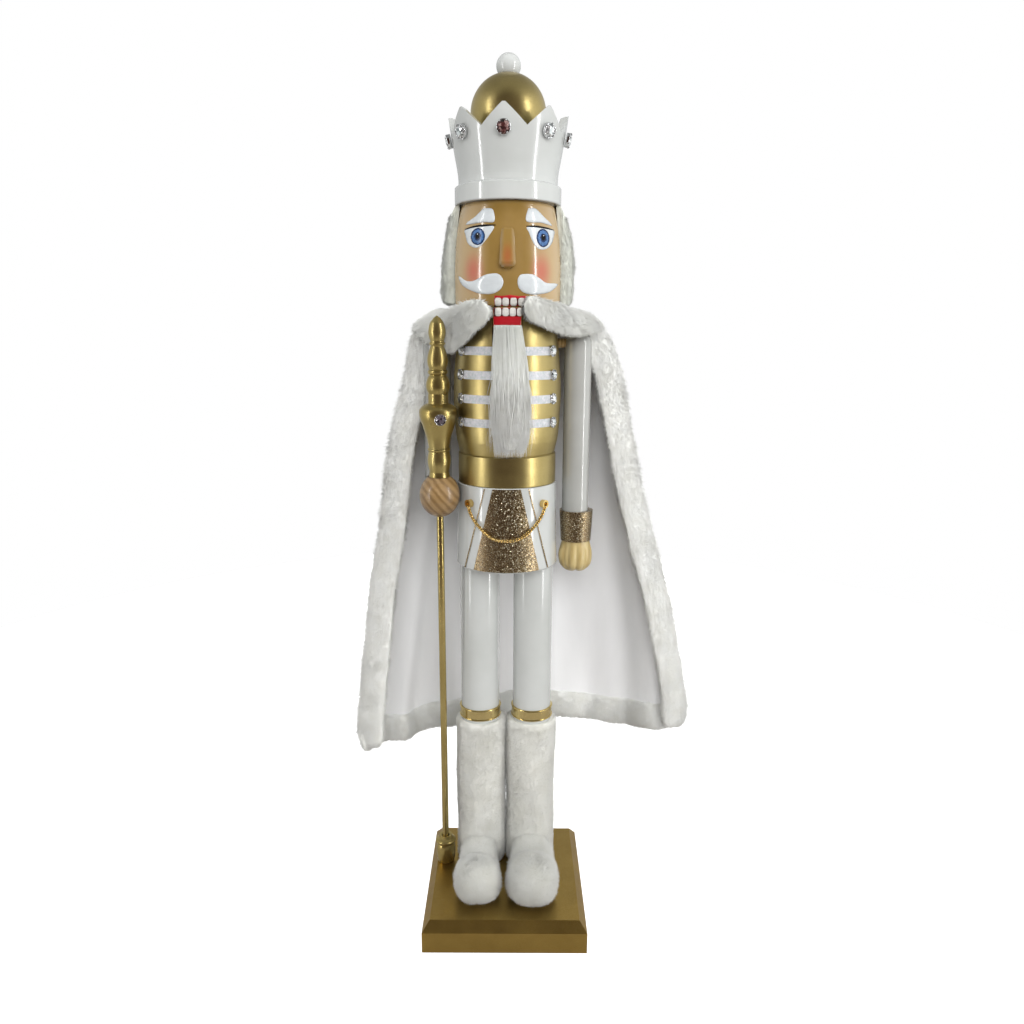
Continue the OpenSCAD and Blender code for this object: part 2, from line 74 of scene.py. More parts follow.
AXIS_Y = middle("belt").y
BASE_TOP = top("base")
HEAD_Z = bottom("head")
CROWN_Z = bottom("crown")
SIDES = {"left": -1, "right": 1}


def about_axis(points):
    """Points given about the figure's own axis, moved into the row frame."""
    return np.array(points, float).reshape(-1, 3) + [0, AXIS_Y, 0]


# ---------------------------------------------------------------- shader nodes

class Net:
    """Short calls for the nodes of a shader tree. Colours are linear tuples, and vectors are lists."""

    def __init__(self, tree):
        self.nodes, self.link = tree.nodes, tree.links.new

    def new(self, kind, **inputs):
        """A node of a kind, with values for its inputs by name."""
        node = self.nodes.new(kind)
        for name, value in inputs.items():
            node.inputs[name.replace("_", " ")].default_value = value
        return node

    def put(self, socket, value):
        """Gives a socket a number, a colour, a vector or another node's output."""
        if isinstance(value, bpy.types.NodeSocket):
            self.link(value, socket)
        else:
            socket.default_value = (*value, 1) if isinstance(value, tuple) else value

    def ramp(self, value, *stops):
        node = self.new("ShaderNodeValToRGB")
        ramp = node.color_ramp
        while len(ramp.elements) < len(stops):
            ramp.elements.new(0.5)
        for element, (at, colour) in zip(ramp.elements, stops):
            element.position = at
            element.color = (*colour, 1) if isinstance(colour, tuple) else (colour,) * 3 + (1,)
        self.link(value, node.inputs["Fac"])
        return node.outputs["Color"]

    def span(self, value, source, target, smooth=False):
        """The value carried from one range to another, and held at its ends."""
        node = self.new("ShaderNodeMapRange", From_Min=source[0], From_Max=source[1], To_Min=target[0],
                        To_Max=target[1])
        if smooth:
            node.interpolation_type = "SMOOTHSTEP"
        self.link(value, node.inputs["Value"])
        return node.outputs[0]

    def mix(self, fac, a, b, blend="MIX"):
        node = self.new("ShaderNodeMix")
        node.data_type, node.blend_type = "RGBA", blend
        for socket, value in ((0, fac), (6, a), (7, b)):
            self.put(node.inputs[socket], value)
        return node.outputs[2]

    def sums(self, operation, a, b=0.0):
        node = self.new("ShaderNodeMath")
        node.operation = operation
        self.put(node.inputs[0], a)
        self.put(node.inputs[1], b)
        return node.outputs[0]

    def vector(self, operation, a, b=None):
        """Vector maths. For SCALE, b is the factor."""
        node = self.new("ShaderNodeVectorMath")
        node.operation = operation
        self.put(node.inputs[0], a)
        if b is not None:
            self.put(node.inputs["Scale" if operation == "SCALE" else 1], b)
        return node.outputs["Value" if operation == "LENGTH" else "Vector"]

    def by_camera(self, seen, unseen):
        """One shader for what the camera sees directly, and another for light and mirror images."""
        mix = self.new("ShaderNodeMixShader")
        self.link(self.new("ShaderNodeLightPath").outputs["Is Camera Ray"], mix.inputs["Fac"])
        self.link(unseen, mix.inputs[1])
        self.link(seen, mix.inputs[2])
        return mix.outputs[0]


# ---------------------------------------------------------------- camera and light

CAMERA_AT = (0.0047, AXIS_Y - 0.878, 0.6441)
CAMERA_DOWN = math.radians(12.18)
CAMERA_ROLL = math.radians(-0.3)
LENS_MM = 28.83


def make_camera():
    data = bpy.data.cameras.new("camera")
    data.lens, data.sensor_width = LENS_MM, 36
    data.clip_start, data.clip_end = 0.05, 50
    camera = bpy.data.objects.new("camera", data)
    camera.location = CAMERA_AT
    camera.rotation_euler = (math.pi / 2 - CAMERA_DOWN, CAMERA_ROLL, 0)
    bpy.context.scene.collection.objects.link(camera)
    bpy.context.scene.camera = camera


def softbox(name, azimuth, distance, z, width, height, watts, shine=True):
    """An area light on a circle round the figure. Azimuth 0 is in front, positive to the right.
    Without shine it is a broad fill that glossy surfaces don't mirror."""
    data = bpy.data.lights.new(name, "AREA")
    data.shape, data.size, data.size_y, data.energy, data.color = "RECTANGLE", width, height, watts, (1, 1, 1)
    light = bpy.data.objects.new(name, data)
    a = math.radians(azimuth)
    light.location = (distance * math.sin(a), AXIS_Y - distance * math.cos(a), z)
    aim = Vector((0, AXIS_Y, 0.5)) - light.location
    light.rotation_euler = aim.to_track_quat("-Z", "Y").to_euler()
    light.visible_glossy = shine
    bpy.context.scene.collection.objects.link(light)


def make_world():
    """A studio: dim and warm behind the camera and overhead, bright walls at the sides, a white backdrop."""
    world = bpy.data.worlds.new("studio")
    bpy.context.scene.world = world
    world.use_nodes = True
    world.node_tree.nodes.clear()
    net = Net(world.node_tree)
    way = net.new("ShaderNodeSeparateXYZ")
    net.link(net.new("ShaderNodeTexCoord").outputs["Generated"], way.inputs[0])
    walls = net.ramp(net.span(way.outputs["Y"], (-1, 1), (0, 1)),
                     (0.0, (0.055, 0.030, 0.024)), (0.16, (0.075, 0.045, 0.036)), (0.27, (0.92, 0.93, 0.92)),
                     (0.55, (0.85, 0.86, 0.85)), (1.0, (0.55, 0.56, 0.56)))
    brighter_right = net.span(way.outputs["X"], (-1, 1), (0.8, 1.25))
    dim_overhead = net.span(way.outputs["Z"], (0.35, 0.9), (1.0, 0.35), smooth=True)
    lit = net.new("ShaderNodeBackground")
    net.link(walls, lit.inputs["Color"])
    net.link(net.sums("MULTIPLY", brighter_right, dim_overhead), lit.inputs["Strength"])
    backdrop = net.new("ShaderNodeBackground", Color=(1, 1, 1, 1))
    net.link(net.by_camera(backdrop.outputs[0], lit.outputs[0]), net.new("ShaderNodeOutputWorld").inputs[0])


def make_stage():
    make_world()
    softbox("strip_left", -60, 1.7, 0.75, 0.10, 2.0, 8)
    softbox("strip_right", 60, 1.7, 0.75, 0.10, 2.0, 11)
    softbox("fill", 12, 2.4, 1.5, 2.4, 1.6, 68, shine=False)
    softbox("top_fill", 0, 0.3, 2.6, 1.6, 1.2, 23, shine=False)
    softbox("back_fill", 188, 2.4, 1.5, 2.4, 1.6, 40, shine=False)
    scene = bpy.context.scene
    scene.view_settings.view_transform = "Standard"
    scene.view_settings.look = "None"
    scene.view_settings.exposure = 0.0


# ---------------------------------------------------------------- materials

class Paint(Net):
    """A Principled material and the textures that feed it."""

    def __init__(self, name, colour, rough, **sockets):
        self.mat = bpy.data.materials.new(name)
        self.mat.use_nodes = True
        self.mat.diffuse_color = (*colour, 1)
        super().__init__(self.mat.node_tree)
        self.bsdf = self.nodes["Principled BSDF"]
        self.set("Base Color", (*colour, 1))
        self.set("Roughness", rough)
        for socket, value in sockets.items():
            self.set(socket.replace("_", " "), value)
        self.place = self.new("ShaderNodeTexCoord").outputs["Object"]

    def set(self, socket, value):
        self.bsdf.inputs[socket].default_value = value

    def feed(self, socket, output):
        self.link(output, self.bsdf.inputs[socket])

    def stretch(self, scale, turn=(0, 0, 0)):
        """Object coordinates turned, then scaled along each axis."""
        node = self.new("ShaderNodeMapping", Scale=[1 / one for one in scale], Rotation=turn)
        node.vector_type = "TEXTURE"
        self.link(self.place, node.inputs["Vector"])
        return node.outputs[0]

    def noise(self, scale, detail=3.0, rough=0.5, vector=None):
        node = self.new("ShaderNodeTexNoise", Scale=scale, Detail=detail, Roughness=rough)
        self.link(vector or self.place, node.inputs["Vector"])
        return node.outputs["Fac"]

    def cells(self, scale):
        """The channels of a random colour for each cell of a foam, and the colour itself."""
        node, split = self.new("ShaderNodeTexVoronoi", Scale=scale), self.new("ShaderNodeSeparateColor")
        self.link(self.place, node.inputs["Vector"])
        self.link(node.outputs["Color"], split.inputs[0])
        return split.outputs["Red"], split.outputs["Green"], node.outputs["Color"]

    def wave(self, scale, distortion=0.0, detail=0.0, vector=None, direction="X"):
        node = self.new("ShaderNodeTexWave", Scale=scale, Distortion=distortion, Detail=detail)
        node.bands_direction = direction
        self.link(vector or self.place, node.inputs["Vector"])
        return node.outputs["Fac"]

    def spot(self, centre, radius):
        """1 at centre, falling to 0 at radius, which has a number for each axis."""
        size = np.array(radius, float)
        node = self.new("ShaderNodeMapping", Scale=tuple(1 / size), Location=tuple(-np.array(centre) / size))
        self.link(self.place, node.inputs["Vector"])
        return self.span(self.vector("LENGTH", node.outputs[0]), (1.0, 0.0), (0.0, 1.0), smooth=True)

    def bump(self, height, depth, strength=0.5, after=None):
        """Bump of the given depth in metres; returns the normal, so that another bump can follow."""
        node = self.new("ShaderNodeBump", Strength=strength, Distance=depth)
        self.link(height, node.inputs["Height"])
        if after is not None:
            self.link(after, node.inputs["Normal"])
        self.feed("Normal", node.outputs[0])
        return node.outputs[0]


def gold_paint(name, deep, light, gloss=(0.28, 0.40), flakes=0.25):
    """Metallic lacquer: fine flakes, faint brush marks and a thin clear coat.
    gloss is the range of roughness, and flakes their share of the colour."""
    p = Paint(name, light, gloss[0], Metallic=0.94, Coat_Weight=0.08, Coat_Roughness=0.18)
    colour = p.ramp(p.noise(28, 4, 0.6), (0.3, deep), (0.7, light))
    sparkle = p.ramp(p.noise(2600, 1), (0.35, (0.30, 0.20, 0.07)), (0.65, (0.70, 0.54, 0.25)))
    p.feed("Base Color", p.mix(flakes, colour, sparkle))
    p.feed("Roughness", p.ramp(p.noise(60, 3), (0.3, gloss[0]), (0.7, gloss[1])))
    p.bump(p.noise(400, 3, 0.6, p.stretch((1, 1, 0.08))), 0.02 * MM, 0.6)
    return p.mat


def white_lacquer(name, low, high):
    """Gloss white over wood: faint clouding and a slow orange peel."""
    p = Paint(name, high, 0.16, Coat_Weight=0.6, Coat_Roughness=0.05)
    p.feed("Base Color", p.ramp(p.noise(14, 4, 0.55), (0.3, low), (0.7, high)))
    p.feed("Roughness", p.ramp(p.noise(50, 2), (0.3, 0.12), (0.7, 0.22)))
    p.bump(p.noise(90, 2, 0.5, p.stretch((1, 1, 0.12))), 0.12 * MM)
    return p.mat


def skin_lacquer():
    """Tan gloss lacquer, warmer at the cheeks and the end of the nose, and painted paler towards the sides as a
    painted highlight.
    """
    p = Paint("skin_lacquer", (0.26, 0.16, 0.045), 0.2, Coat_Weight=0.8, Coat_Roughness=0.05)
    tone = p.ramp(p.noise(22, 4, 0.55), (0.3, (0.195, 0.118, 0.028)), (0.7, (0.25, 0.155, 0.044)))
    way = p.new("ShaderNodeSeparateXYZ")
    p.link(p.place, way.inputs[0])
    share_out = p.sums("MULTIPLY", p.sums("ABSOLUTE", way.outputs["X"]), 1 / (55 * MM))
    # Painted highlight: the skin is painted paler towards the sides of the head, where the side lights brighten
    # it.
    painted_side_light = p.ramp(share_out, (0.30, 0), (0.9, 1))
    tone = p.mix(painted_side_light, tone, (0.44, 0.31, 0.15))
    for side in (-1, 1):
        cheek = about_axis([[side * 33 * MM, -42 * MM, HEAD_Z + 33.5 * MM]])[0]
        tone = p.mix(p.sums("MULTIPLY", p.spot(cheek, (0.015, 0.03, 0.025)), 0.85), tone, (0.42, 0.085, 0.05))
    tip = about_axis([[0, -65 * MM, HEAD_Z + 49 * MM]])[0]
    tone = p.mix(p.sums("MULTIPLY", p.spot(tip, (0.008, 0.012, 0.021)), 0.75), tone, (0.30, 0.075, 0.03))
    p.feed("Base Color", tone)
    p.feed("Roughness", p.ramp(p.noise(50, 2), (0.3, 0.15), (0.7, 0.26)))
    p.bump(p.noise(90, 2, 0.5, p.stretch((1, 1, 0.12))), 0.12 * MM)
    return p.mat


def bare_wood(name, turn, pale, mid, dark, rings_per_m):
    """Light wood under clear varnish, with growth rings and pores along the grain."""
    p = Paint(name, mid, 0.34, Coat_Weight=0.35, Coat_Roughness=0.12)
    rings = p.wave(rings_per_m, 5.5, 3, p.stretch((1, 1, 0.16), turn))
    grain = p.noise(700, 3, 0.6, p.stretch((1, 1, 0.05), turn))
    colour = p.ramp(rings, (0.15, pale), (0.62, mid), (0.9, dark))
    p.feed("Base Color", p.mix(0.3, colour, p.ramp(grain, (0.35, dark), (0.7, pale))))
    p.feed("Roughness", p.ramp(grain, (0.3, 0.42), (0.7, 0.28)))
    p.bump(grain, 0.06 * MM, 0.6)
    return p.mat


def glitter():
    """Metal flakes in varnish: a fine bed that lies nearly flat, and larger flakes here and there that glint."""
    p = Paint("gold_glitter", (0.45, 0.33, 0.16), 0.24, Metallic=0.95, Coat_Weight=0.3, Coat_Roughness=0.25)
    shade, gloss, fine = p.cells(2100)
    chance, _, large = p.cells(1470)
    bed = p.ramp(shade, (0.0, (0.10, 0.062, 0.034)), (0.6, (0.27, 0.19, 0.095)), (0.95, (0.62, 0.50, 0.30)))
    spark = p.ramp(chance, (0.915, 0), (0.935, 1))
    p.feed("Base Color", p.mix(spark, bed, (0.9, 0.82, 0.60)))
    p.feed("Roughness", p.ramp(gloss, (0.0, 0.22), (1.0, 0.45)))
    normal = p.new("ShaderNodeNewGeometry").outputs["Normal"]
    for flakes, swing in ((fine, 0.28), (large, p.sums("MULTIPLY", spark, 1.3))):
        lean = p.vector("SCALE", p.vector("SUBTRACT", flakes, [0.5, 0.5, 0.5]), swing)
        normal = p.vector("ADD", lean, normal)
    p.feed("Normal", p.vector("NORMALIZE", normal))
    return p.mat


def fur_paint(name, root, tip, scale=60):
    """Soft pile: darker towards the root of each strand, as painted shade deep in the pile, and uneven from tuft
    to tuft.
    """
    p = Paint(name, tip, 0.8, Sheen_Weight=0.4, Sheen_Roughness=0.5, Specular_IOR_Level=0.2)
    along = p.new("ShaderNodeAttribute")
    along.attribute_name = "along"
    tuft = p.ramp(p.noise(scale, 3, 0.6), (0.3, (0.93, 0.925, 0.90)), (0.65, (1.0, 1.0, 1.0)))
    # Painted shade: each strand runs from the darker root colour at its base to the tip colour.
    p.feed("Base Color", p.mix(1.0, p.mix(along.outputs["Fac"], root, tip), tuft, "MULTIPLY"))
    return p.mat


def satin():
    """Smooth lining: a fine weave, a little sheen and slow uneven pull."""
    p = Paint("lining_satin", (0.80, 0.81, 0.82), 0.42, Sheen_Weight=0.3, Sheen_Roughness=0.35,
              Specular_IOR_Level=0.4)
    pull = p.noise(9, 4, 0.6, p.stretch((1, 1, 0.35)))
    p.feed("Base Color", p.ramp(pull, (0.3, (0.745, 0.755, 0.76)), (0.7, (0.84, 0.845, 0.855))))
    normal = p.bump(p.sums("ADD", p.wave(2600), p.wave(2600, direction="Z")), 0.04 * MM, 0.4)
    p.bump(p.noise(35, 3, 0.6, p.stretch((1, 1, 0.2))), 1.2 * MM, after=normal)
    return p.mat


def braid_paint(name, base, light, dark):
    """Flat metallic braid: crossing threads, with a shift of colour from thread to thread."""
    p = Paint(name, base, 0.3, Metallic=0.45, Sheen_Weight=0.3)
    threads, cross = (p.wave(650, 0.8, 1, p.stretch((1, 1, 1), (0, turn, 0))) for turn in (0.8, -0.8))
    weave = p.sums("MAXIMUM", threads, cross)
    colour = p.ramp(p.noise(420, 2), (0.3, dark), (0.5, base), (0.72, light))
    p.feed("Base Color", p.mix(0.35, colour, p.ramp(weave, (0.2, dark), (0.8, light))))
    p.bump(weave, 0.3 * MM, 0.8)
    return p.mat


def enamel(name, colour, rough=0.22, vary=0.12, scale=160, shine=0.5):
    """Brush-applied gloss paint, slightly uneven in depth."""
    p = Paint(name, colour, rough, Coat_Weight=shine, Coat_Roughness=0.06, Specular_IOR_Level=shine)
    low, high = (tuple(min(1, c * share) for c in colour) for share in (1 - vary, 1 + vary))
    p.feed("Base Color", p.ramp(p.noise(scale, 3, 0.6, p.stretch((0.35, 1, 1))), (0.3, low), (0.7, high)))
    p.bump(p.noise(220, 2), 0.08 * MM)
    return p.mat


def metal(name, colour, rough):
    """Plated metal with a faint unevenness."""
    p = Paint(name, colour, rough, Metallic=1.0)
    p.feed("Base Color", p.ramp(p.noise(120, 3), (0.3, tuple(c * 0.88 for c in colour)), (0.7, colour)))
    p.feed("Roughness", p.ramp(p.noise(150, 2), (0.3, rough * 0.85), (0.7, rough * 1.2)))
    p.bump(p.noise(600, 2), 0.01 * MM)
    return p.mat


def stone(name, light, dark, painted_flash=(1, 1, 1), mirror=0.75):
    """Foil-backed cut stone under a clear polish. Its colour is broken by cell into dark, light and flash
    patches: painted reflections over the stone's own tint.
    """
    p = Paint(name, light, 0.04, Metallic=mirror, Coat_Weight=1.0, Coat_Roughness=0.02)
    # Painted reflections: random cells are painted dark, light or as a bright flash, as the facets would mirror
    # the room.
    p.feed("Base Color", p.ramp(p.cells(330)[0], (0.1, dark), (0.45, light), (0.9, painted_flash)))
    return p.mat


PAINTS = {
    "gold_paint": gold_paint("gold_paint", (0.37, 0.295, 0.105), (0.47, 0.385, 0.155)),
    "staff_gold": gold_paint("staff_gold", (0.40, 0.305, 0.10), (0.52, 0.42, 0.165), (0.27, 0.33), 0.08),
    "rod_gold": gold_paint("rod_gold", (0.42, 0.32, 0.11), (0.55, 0.44, 0.18), (0.17, 0.22), 0.06),
    "base_gold": gold_paint("base_gold", (0.31, 0.19, 0.027), (0.40, 0.255, 0.047)),
    "white_lacquer": white_lacquer("white_lacquer", (0.43, 0.445, 0.43), (0.495, 0.51, 0.50)),
    # A darker copy of the white lacquer: painted shade for the shadow that the collar and cape cast on the arms.
    "sleeve_lacquer_painted_shade": white_lacquer("sleeve_lacquer_painted_shade", (0.33, 0.335, 0.315), (0.385, 0.39, 0.375)),
    "skin": skin_lacquer(),
    "hand_wood": bare_wood("hand_wood", (0, -0.7, 0.2), (0.285, 0.185, 0.082), (0.215, 0.13, 0.052),
                           (0.155, 0.088, 0.032), 50),
    "pale_wood": bare_wood("pale_wood", (0, 0.12, 0), (0.50, 0.40, 0.19), (0.45, 0.345, 0.15), (0.38, 0.28, 0.11),
                           36),
    "plain_wood": bare_wood("plain_wood", (0, 0.05, 0), (0.45, 0.32, 0.13), (0.36, 0.235, 0.08),
                            (0.21, 0.12, 0.035), 95),
    "glitter": glitter(),
    # The first colour of each fur is its root's, darkened as painted shade deep in the pile.
    "plush": fur_paint("plush", (0.80, 0.81, 0.785), (0.915, 0.925, 0.895)),
    # The collar's plush is a darker copy of the trims' plush: painted shade that tones the collar down where the
    # top light falls on it.
    "collar_plush_painted_shade": fur_paint("collar_plush_painted_shade", (0.62, 0.63, 0.60), (0.69, 0.70, 0.67)),
    "boot_plush": fur_paint("boot_plush", (0.62, 0.62, 0.58), (0.73, 0.735, 0.70), 45),
    "hair_fur": fur_paint("hair_fur", (0.56, 0.58, 0.515), (0.72, 0.74, 0.685), 90),
    "beard_fur": fur_paint("beard_fur", (0.40, 0.41, 0.385), (0.72, 0.73, 0.71), 120),
    "lining": satin(),
    "white_braid": braid_paint("white_braid", (0.70, 0.73, 0.77), (0.95, 0.93, 0.98), (0.50, 0.60, 0.60)),
    "bright_gold": metal("bright_gold", (0.70, 0.56, 0.25), 0.22),
    "gold_metal": metal("gold_metal", (0.83, 0.60, 0.24), 0.2),
    "silver": metal("silver", (0.78, 0.79, 0.80), 0.15),
    "steel": metal("steel", (0.45, 0.45, 0.46), 0.3),
    # Each stone's light, dark and flash colours are painted reflections over its own tint.
    "stone": stone("clear_stone", (0.72, 0.77, 0.78), (0.26, 0.29, 0.29)),
    "dark_stone": stone("dark_stone", (0.05, 0.035, 0.045), (0.01, 0.01, 0.012), (0.12, 0.10, 0.12), 0.3),
    "red_stone": stone("red_stone", (0.17, 0.05, 0.05), (0.03, 0.02, 0.018), (0.55, 0.36, 0.33), 0.6),
    "white_enamel": enamel("white_enamel", (0.50, 0.53, 0.545), 0.2, 0.06),
    "tooth": enamel("tooth", (0.52, 0.51, 0.48), 0.25, 0.16, 500),
    "black_enamel": enamel("black_enamel", (0.004, 0.004, 0.004), 0.4, shine=0.08),
    "iris_dark": enamel("iris_dark", (0.012, 0.028, 0.085), shine=0.2),
    "glint": enamel("glint", (0.85, 0.90, 0.92), 0.2, 0.03),
    "iris_blue": enamel("iris_blue", (0.052, 0.128, 0.29), 0.2, 0.35, 500, shine=0.25),
    "red_enamel": enamel("red_enamel", (0.33, 0.006, 0.012), 0.28, 0.25),
    "dark_red_enamel": enamel("dark_red_enamel", (0.045, 0.004, 0.005), 0.3, 0.2),
}


# ---------------------------------------------------------------- meshes

def unit(v):
    return v / np.maximum(np.linalg.norm(v, axis=-1, keepdims=True), 1e-12)


def curve(points, steps):
    """A smooth line (Catmull-Rom) through rows of numbers, with steps between neighbours."""
    p = np.array(points, float)
    p = np.vstack([2 * p[0] - p[1], p, 2 * p[-1] - p[-2]])
    out = []
    for a, b, c, d in zip(p, p[1:], p[2:], p[3:]):
        for t in np.linspace(0, 1, steps, endpoint=False):
            out.append(0.5 * (2 * b + (c - a) * t + (2 * a - 5 * b + 4 * c - d) * t * t
                              + (3 * b - a - 3 * c + d) * t ** 3))
    return np.array(out + [p[-2]])


def loop(points, steps):
    """A smooth closed line through points; its last point isn't its first."""
    p = list(points)
    return curve(p[-2:] + p + p[:2], steps)[2 * steps:(2 + len(p)) * steps]


def grid_faces(rows, cols):
    """Triangles between neighbouring rings of points, which close on themselves."""
    i, j = np.arange(rows - 1)[:, None], np.arange(cols)[None, :]
    here, right = i * cols + j, i * cols + (j + 1) % cols
    up, across = here + cols, right + cols
    return np.concatenate([np.stack([here, right, across], -1).reshape(-1, 3),
                           np.stack([here, across, up], -1).reshape(-1, 3)])


def loft(rings, hairpin=False):
    """A closed solid through rings of points. Rings run anticlockwise about the direction they go in.
    A hairpin ring goes out along one side of a sheet and back along the other, so its ends close across it."""
    rings = np.asarray(rings, float)
    n, m = rings.shape[:2]
    verts, tris = rings.reshape(-1, 3), grid_faces(n, m)
    if hairpin:
        k = np.arange(m // 2 - 1)
        last = (n - 1) * m
        tris = np.vstack([tris, np.stack([k + 1, k, m - 1 - k], 1), np.stack([k + 1, m - 1 - k, m - 2 - k], 1),
                          last + np.stack([k, k + 1, m - 2 - k], 1),
                          last + np.stack([k, m - 2 - k, m - 1 - k], 1)])
    else:
        k = np.arange(m)
        hub = np.full(m, n * m)
        verts = np.vstack([verts, rings[0].mean(0), rings[-1].mean(0)])
        tris = np.vstack([tris, np.stack([(k + 1) % m, k, hub], 1),
                          np.stack([(n - 1) * m + k, (n - 1) * m + (k + 1) % m, hub + 1], 1)])
    return verts, tris


def join(parts):
    """Several parts as one."""
    verts, tris, base = [], [], 0
    for v, t in parts:
        verts.append(v)
        tris.append(t + base)
        base += len(v)
    return np.vstack(verts), np.vstack(tris)


def lathe(profile, sides=48, bumps=None):
    """A solid turned round the Z axis from (radius, height) rows, lowest first.
    bumps(angle, height) adds to the radius."""
    a = np.linspace(0, 2 * np.pi, sides, endpoint=False)
    rings = []
    for r, z in profile:
        rr = r + (bumps(a, z) if bumps else 0)
        rings.append(np.stack([rr * np.cos(a), rr * np.sin(a), np.full(sides, z)], 1))
    return loft(rings)


def frames(path):
    """Unit tangents of a path, and two steady directions across it."""
    tangent = unit(np.gradient(path, axis=0))
    side = [unit(np.cross(tangent[0], [0.13, 0.31, 0.94]))]
    for t in tangent[1:]:
        side.append(unit(side[-1] - t * (side[-1] @ t)))
    side = np.array(side)
    return tangent, side, np.cross(tangent, side)


def tube(path, radius, sides=8):
    """A closed round tube along a path; radius is one number or one for each point."""
    path = np.asarray(path, float)
    _, side, up = frames(path)
    a = np.linspace(0, 2 * np.pi, sides, endpoint=False)[None, :, None]
    r = np.broadcast_to(np.asarray(radius, float), len(path))[:, None, None]
    return loft(path[:, None] + r * (np.cos(a) * side[:, None] + np.sin(a) * up[:, None]))


def corner_normals(part):
    """Smooth outward normals at a part's vertices, and each face's own, with a length of twice its area."""
    verts, tris = part
    a, b, c = (verts[tris[:, i]] for i in range(3))
    cross = np.cross(b - a, c - a)
    corner = np.zeros_like(verts)
    for i in range(3):
        np.add.at(corner, tris[:, i], cross)
    return unit(corner), cross


def check_out(part):
    """The part with its faces turned outwards."""
    verts, tris = part
    a, b, c = (verts[tris[:, i]] for i in range(3))
    volume = np.sum(np.cross(a, b) * c)
    return verts, tris if volume > 0 else tris[:, ::-1]


def placed(part, at, z_to=(0, 0, 1)):
    """The part moved to a point, with its own +Z turned to a direction."""
    verts, tris = part
    turn = np.array(Vector((0, 0, 1)).rotation_difference(Vector(z_to)).to_matrix())
    return verts @ turn.T + np.array(at), tris


def add(name, part, paint, body="figure", slot=None, replaces=(), smooth=True, along=None, normals=None):
    """Makes a mesh object of a part in metres, painted and riding on a body.
    along is a number for each vertex that the fur paint reads, and normals are the vertices' own."""
    verts, tris = part
    mesh = bpy.data.meshes.new(name)
    mesh.from_pydata(verts, [], tris)
    mesh.polygons.foreach_set("use_smooth", np.full(len(tris), smooth))
    if along is not None:
        mesh.attributes.new("along", "FLOAT", "POINT").data.foreach_set("value", along.astype(np.float32))
    mesh.update()
    if normals is not None:
        mesh.normals_split_custom_set_from_vertices(normals)
    obj = bpy.data.objects.new(name, mesh)
    bpy.context.scene.collection.objects.link(obj)
    obj.data.materials.append(PAINTS[paint])
    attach(obj, body)
    if replaces:
        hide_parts(*replaces)
    return obj


# ---------------------------------------------------------------- fur

def wavy(points, rng, scale, count=5):
    """A smooth random number from about -1 to 1 for each point, that changes over about scale metres."""
    out = np.zeros(len(points))
    for _ in range(count):
        k = rng.normal(0, 1, 3) * 2.2 / scale
        out += np.sin(points @ k + rng.uniform(0, 2 * np.pi))
    return out / math.sqrt(count) / 1.2


def scatter(part, count, rng, keep=None):
    """Random points on a part's surface with its smooth normals, thinned by keep(points, normals)."""
    verts, tris = part
    a, b, c = (verts[tris[:, i]] for i in range(3))
    corner, cross = corner_normals(part)
    weight = np.linalg.norm(cross, axis=1)
    if keep is not None:
        weight = weight * keep((a + b + c) / 3, unit(cross))
    pick = rng.choice(len(tris), count, p=weight / weight.sum())
    u, v = rng.random(count), rng.random(count)
    flip = u + v > 1
    u[flip], v[flip] = 1 - u[flip], 1 - v[flip]
    u, v = u[:, None], v[:, None]
    t = tris[pick]
    points = a[pick] * (1 - u - v) + b[pick] * u + c[pick] * v
    return points, unit(corner[t[:, 0]] * (1 - u - v) + corner[t[:, 1]] * u + corner[t[:, 2]] * v)


def gather(points, tips, rng, share, leads_share=0.05):
    """Tips drawn towards the tips of the nearest leading strands, so that the pile falls in locks."""
    count = len(points)
    leads = rng.choice(count, max(2, int(count * leads_share)), replace=False)
    tree = KDTree(len(leads))
    for i, lead in enumerate(leads):
        tree.insert(points[lead], i)
    tree.balance()
    nearest = leads[[tree.find(p)[1] for p in points]]
    return tips + (tips[nearest] - tips) * (share * rng.uniform(0.3, 1, count))[:, None]


def strand_mesh(paths, radii):
    """Closed pointed strands. paths is (strands, points, 3); radii is (strands, points - 1)."""
    n, s = paths.shape[:2]
    tangent = unit(np.gradient(paths, axis=1))[:, :-1]
    side = unit(np.cross(tangent, [0.31, 0.52, 0.80]))
    up = np.cross(tangent, side)
    a = (np.arange(3) * 2 * np.pi / 3)[None, None, :, None]
    spoke = np.cos(a) * side[:, :, None] + np.sin(a) * up[:, :, None]
    rings = paths[:, :-1, None] + radii[:, :, None, None] * spoke
    verts = np.concatenate([rings.reshape(n, -1, 3), paths[:, -1:]], axis=1)
    per = verts.shape[1]
    one = [[0, 2, 1]]
    for i in range(s - 2):
        for j in range(3):
            k = (j + 1) % 3
            one += [[3 * i + j, 3 * i + k, 3 * i + 3 + k], [3 * i + j, 3 * i + 3 + k, 3 * i + 3 + j]]
    one += [[3 * (s - 2) + j, 3 * (s - 2) + (j + 1) % 3, per - 1] for j in range(3)]
    tris = (np.array(one)[None] + (np.arange(n) * per)[:, None, None]).reshape(-1, 3)
    along = np.concatenate([np.repeat(np.linspace(0, 0.85, s - 1), 3), [1.0]])
    return (verts.reshape(-1, 3), tris), np.tile(along, n)


def with_pile(name, shell, paths, radii, normals, paint, relief=0.4, **how):
    """A shell and its strands as one piece. Strands are shaded mostly as the surface that they stand on,
    which keeps the pile soft."""
    strands, along = strand_mesh(paths, radii)
    per = len(along) // len(paths)
    corner = corner_normals(shell)[0]
    own = strands[0].reshape(len(paths), per, 3)
    own = unit(own - own.mean(axis=1, keepdims=True))
    lit = unit(np.repeat(normals, per, axis=0) + relief * own.reshape(-1, 3))
    # The shell under the strands takes a colour a third of the way from root to tip: painted shade under the
    # pile.
    add(name, join([shell, strands]), paint, along=np.concatenate([np.full(len(corner), 0.35), along]),
        normals=np.vstack([corner, lit]), **how)


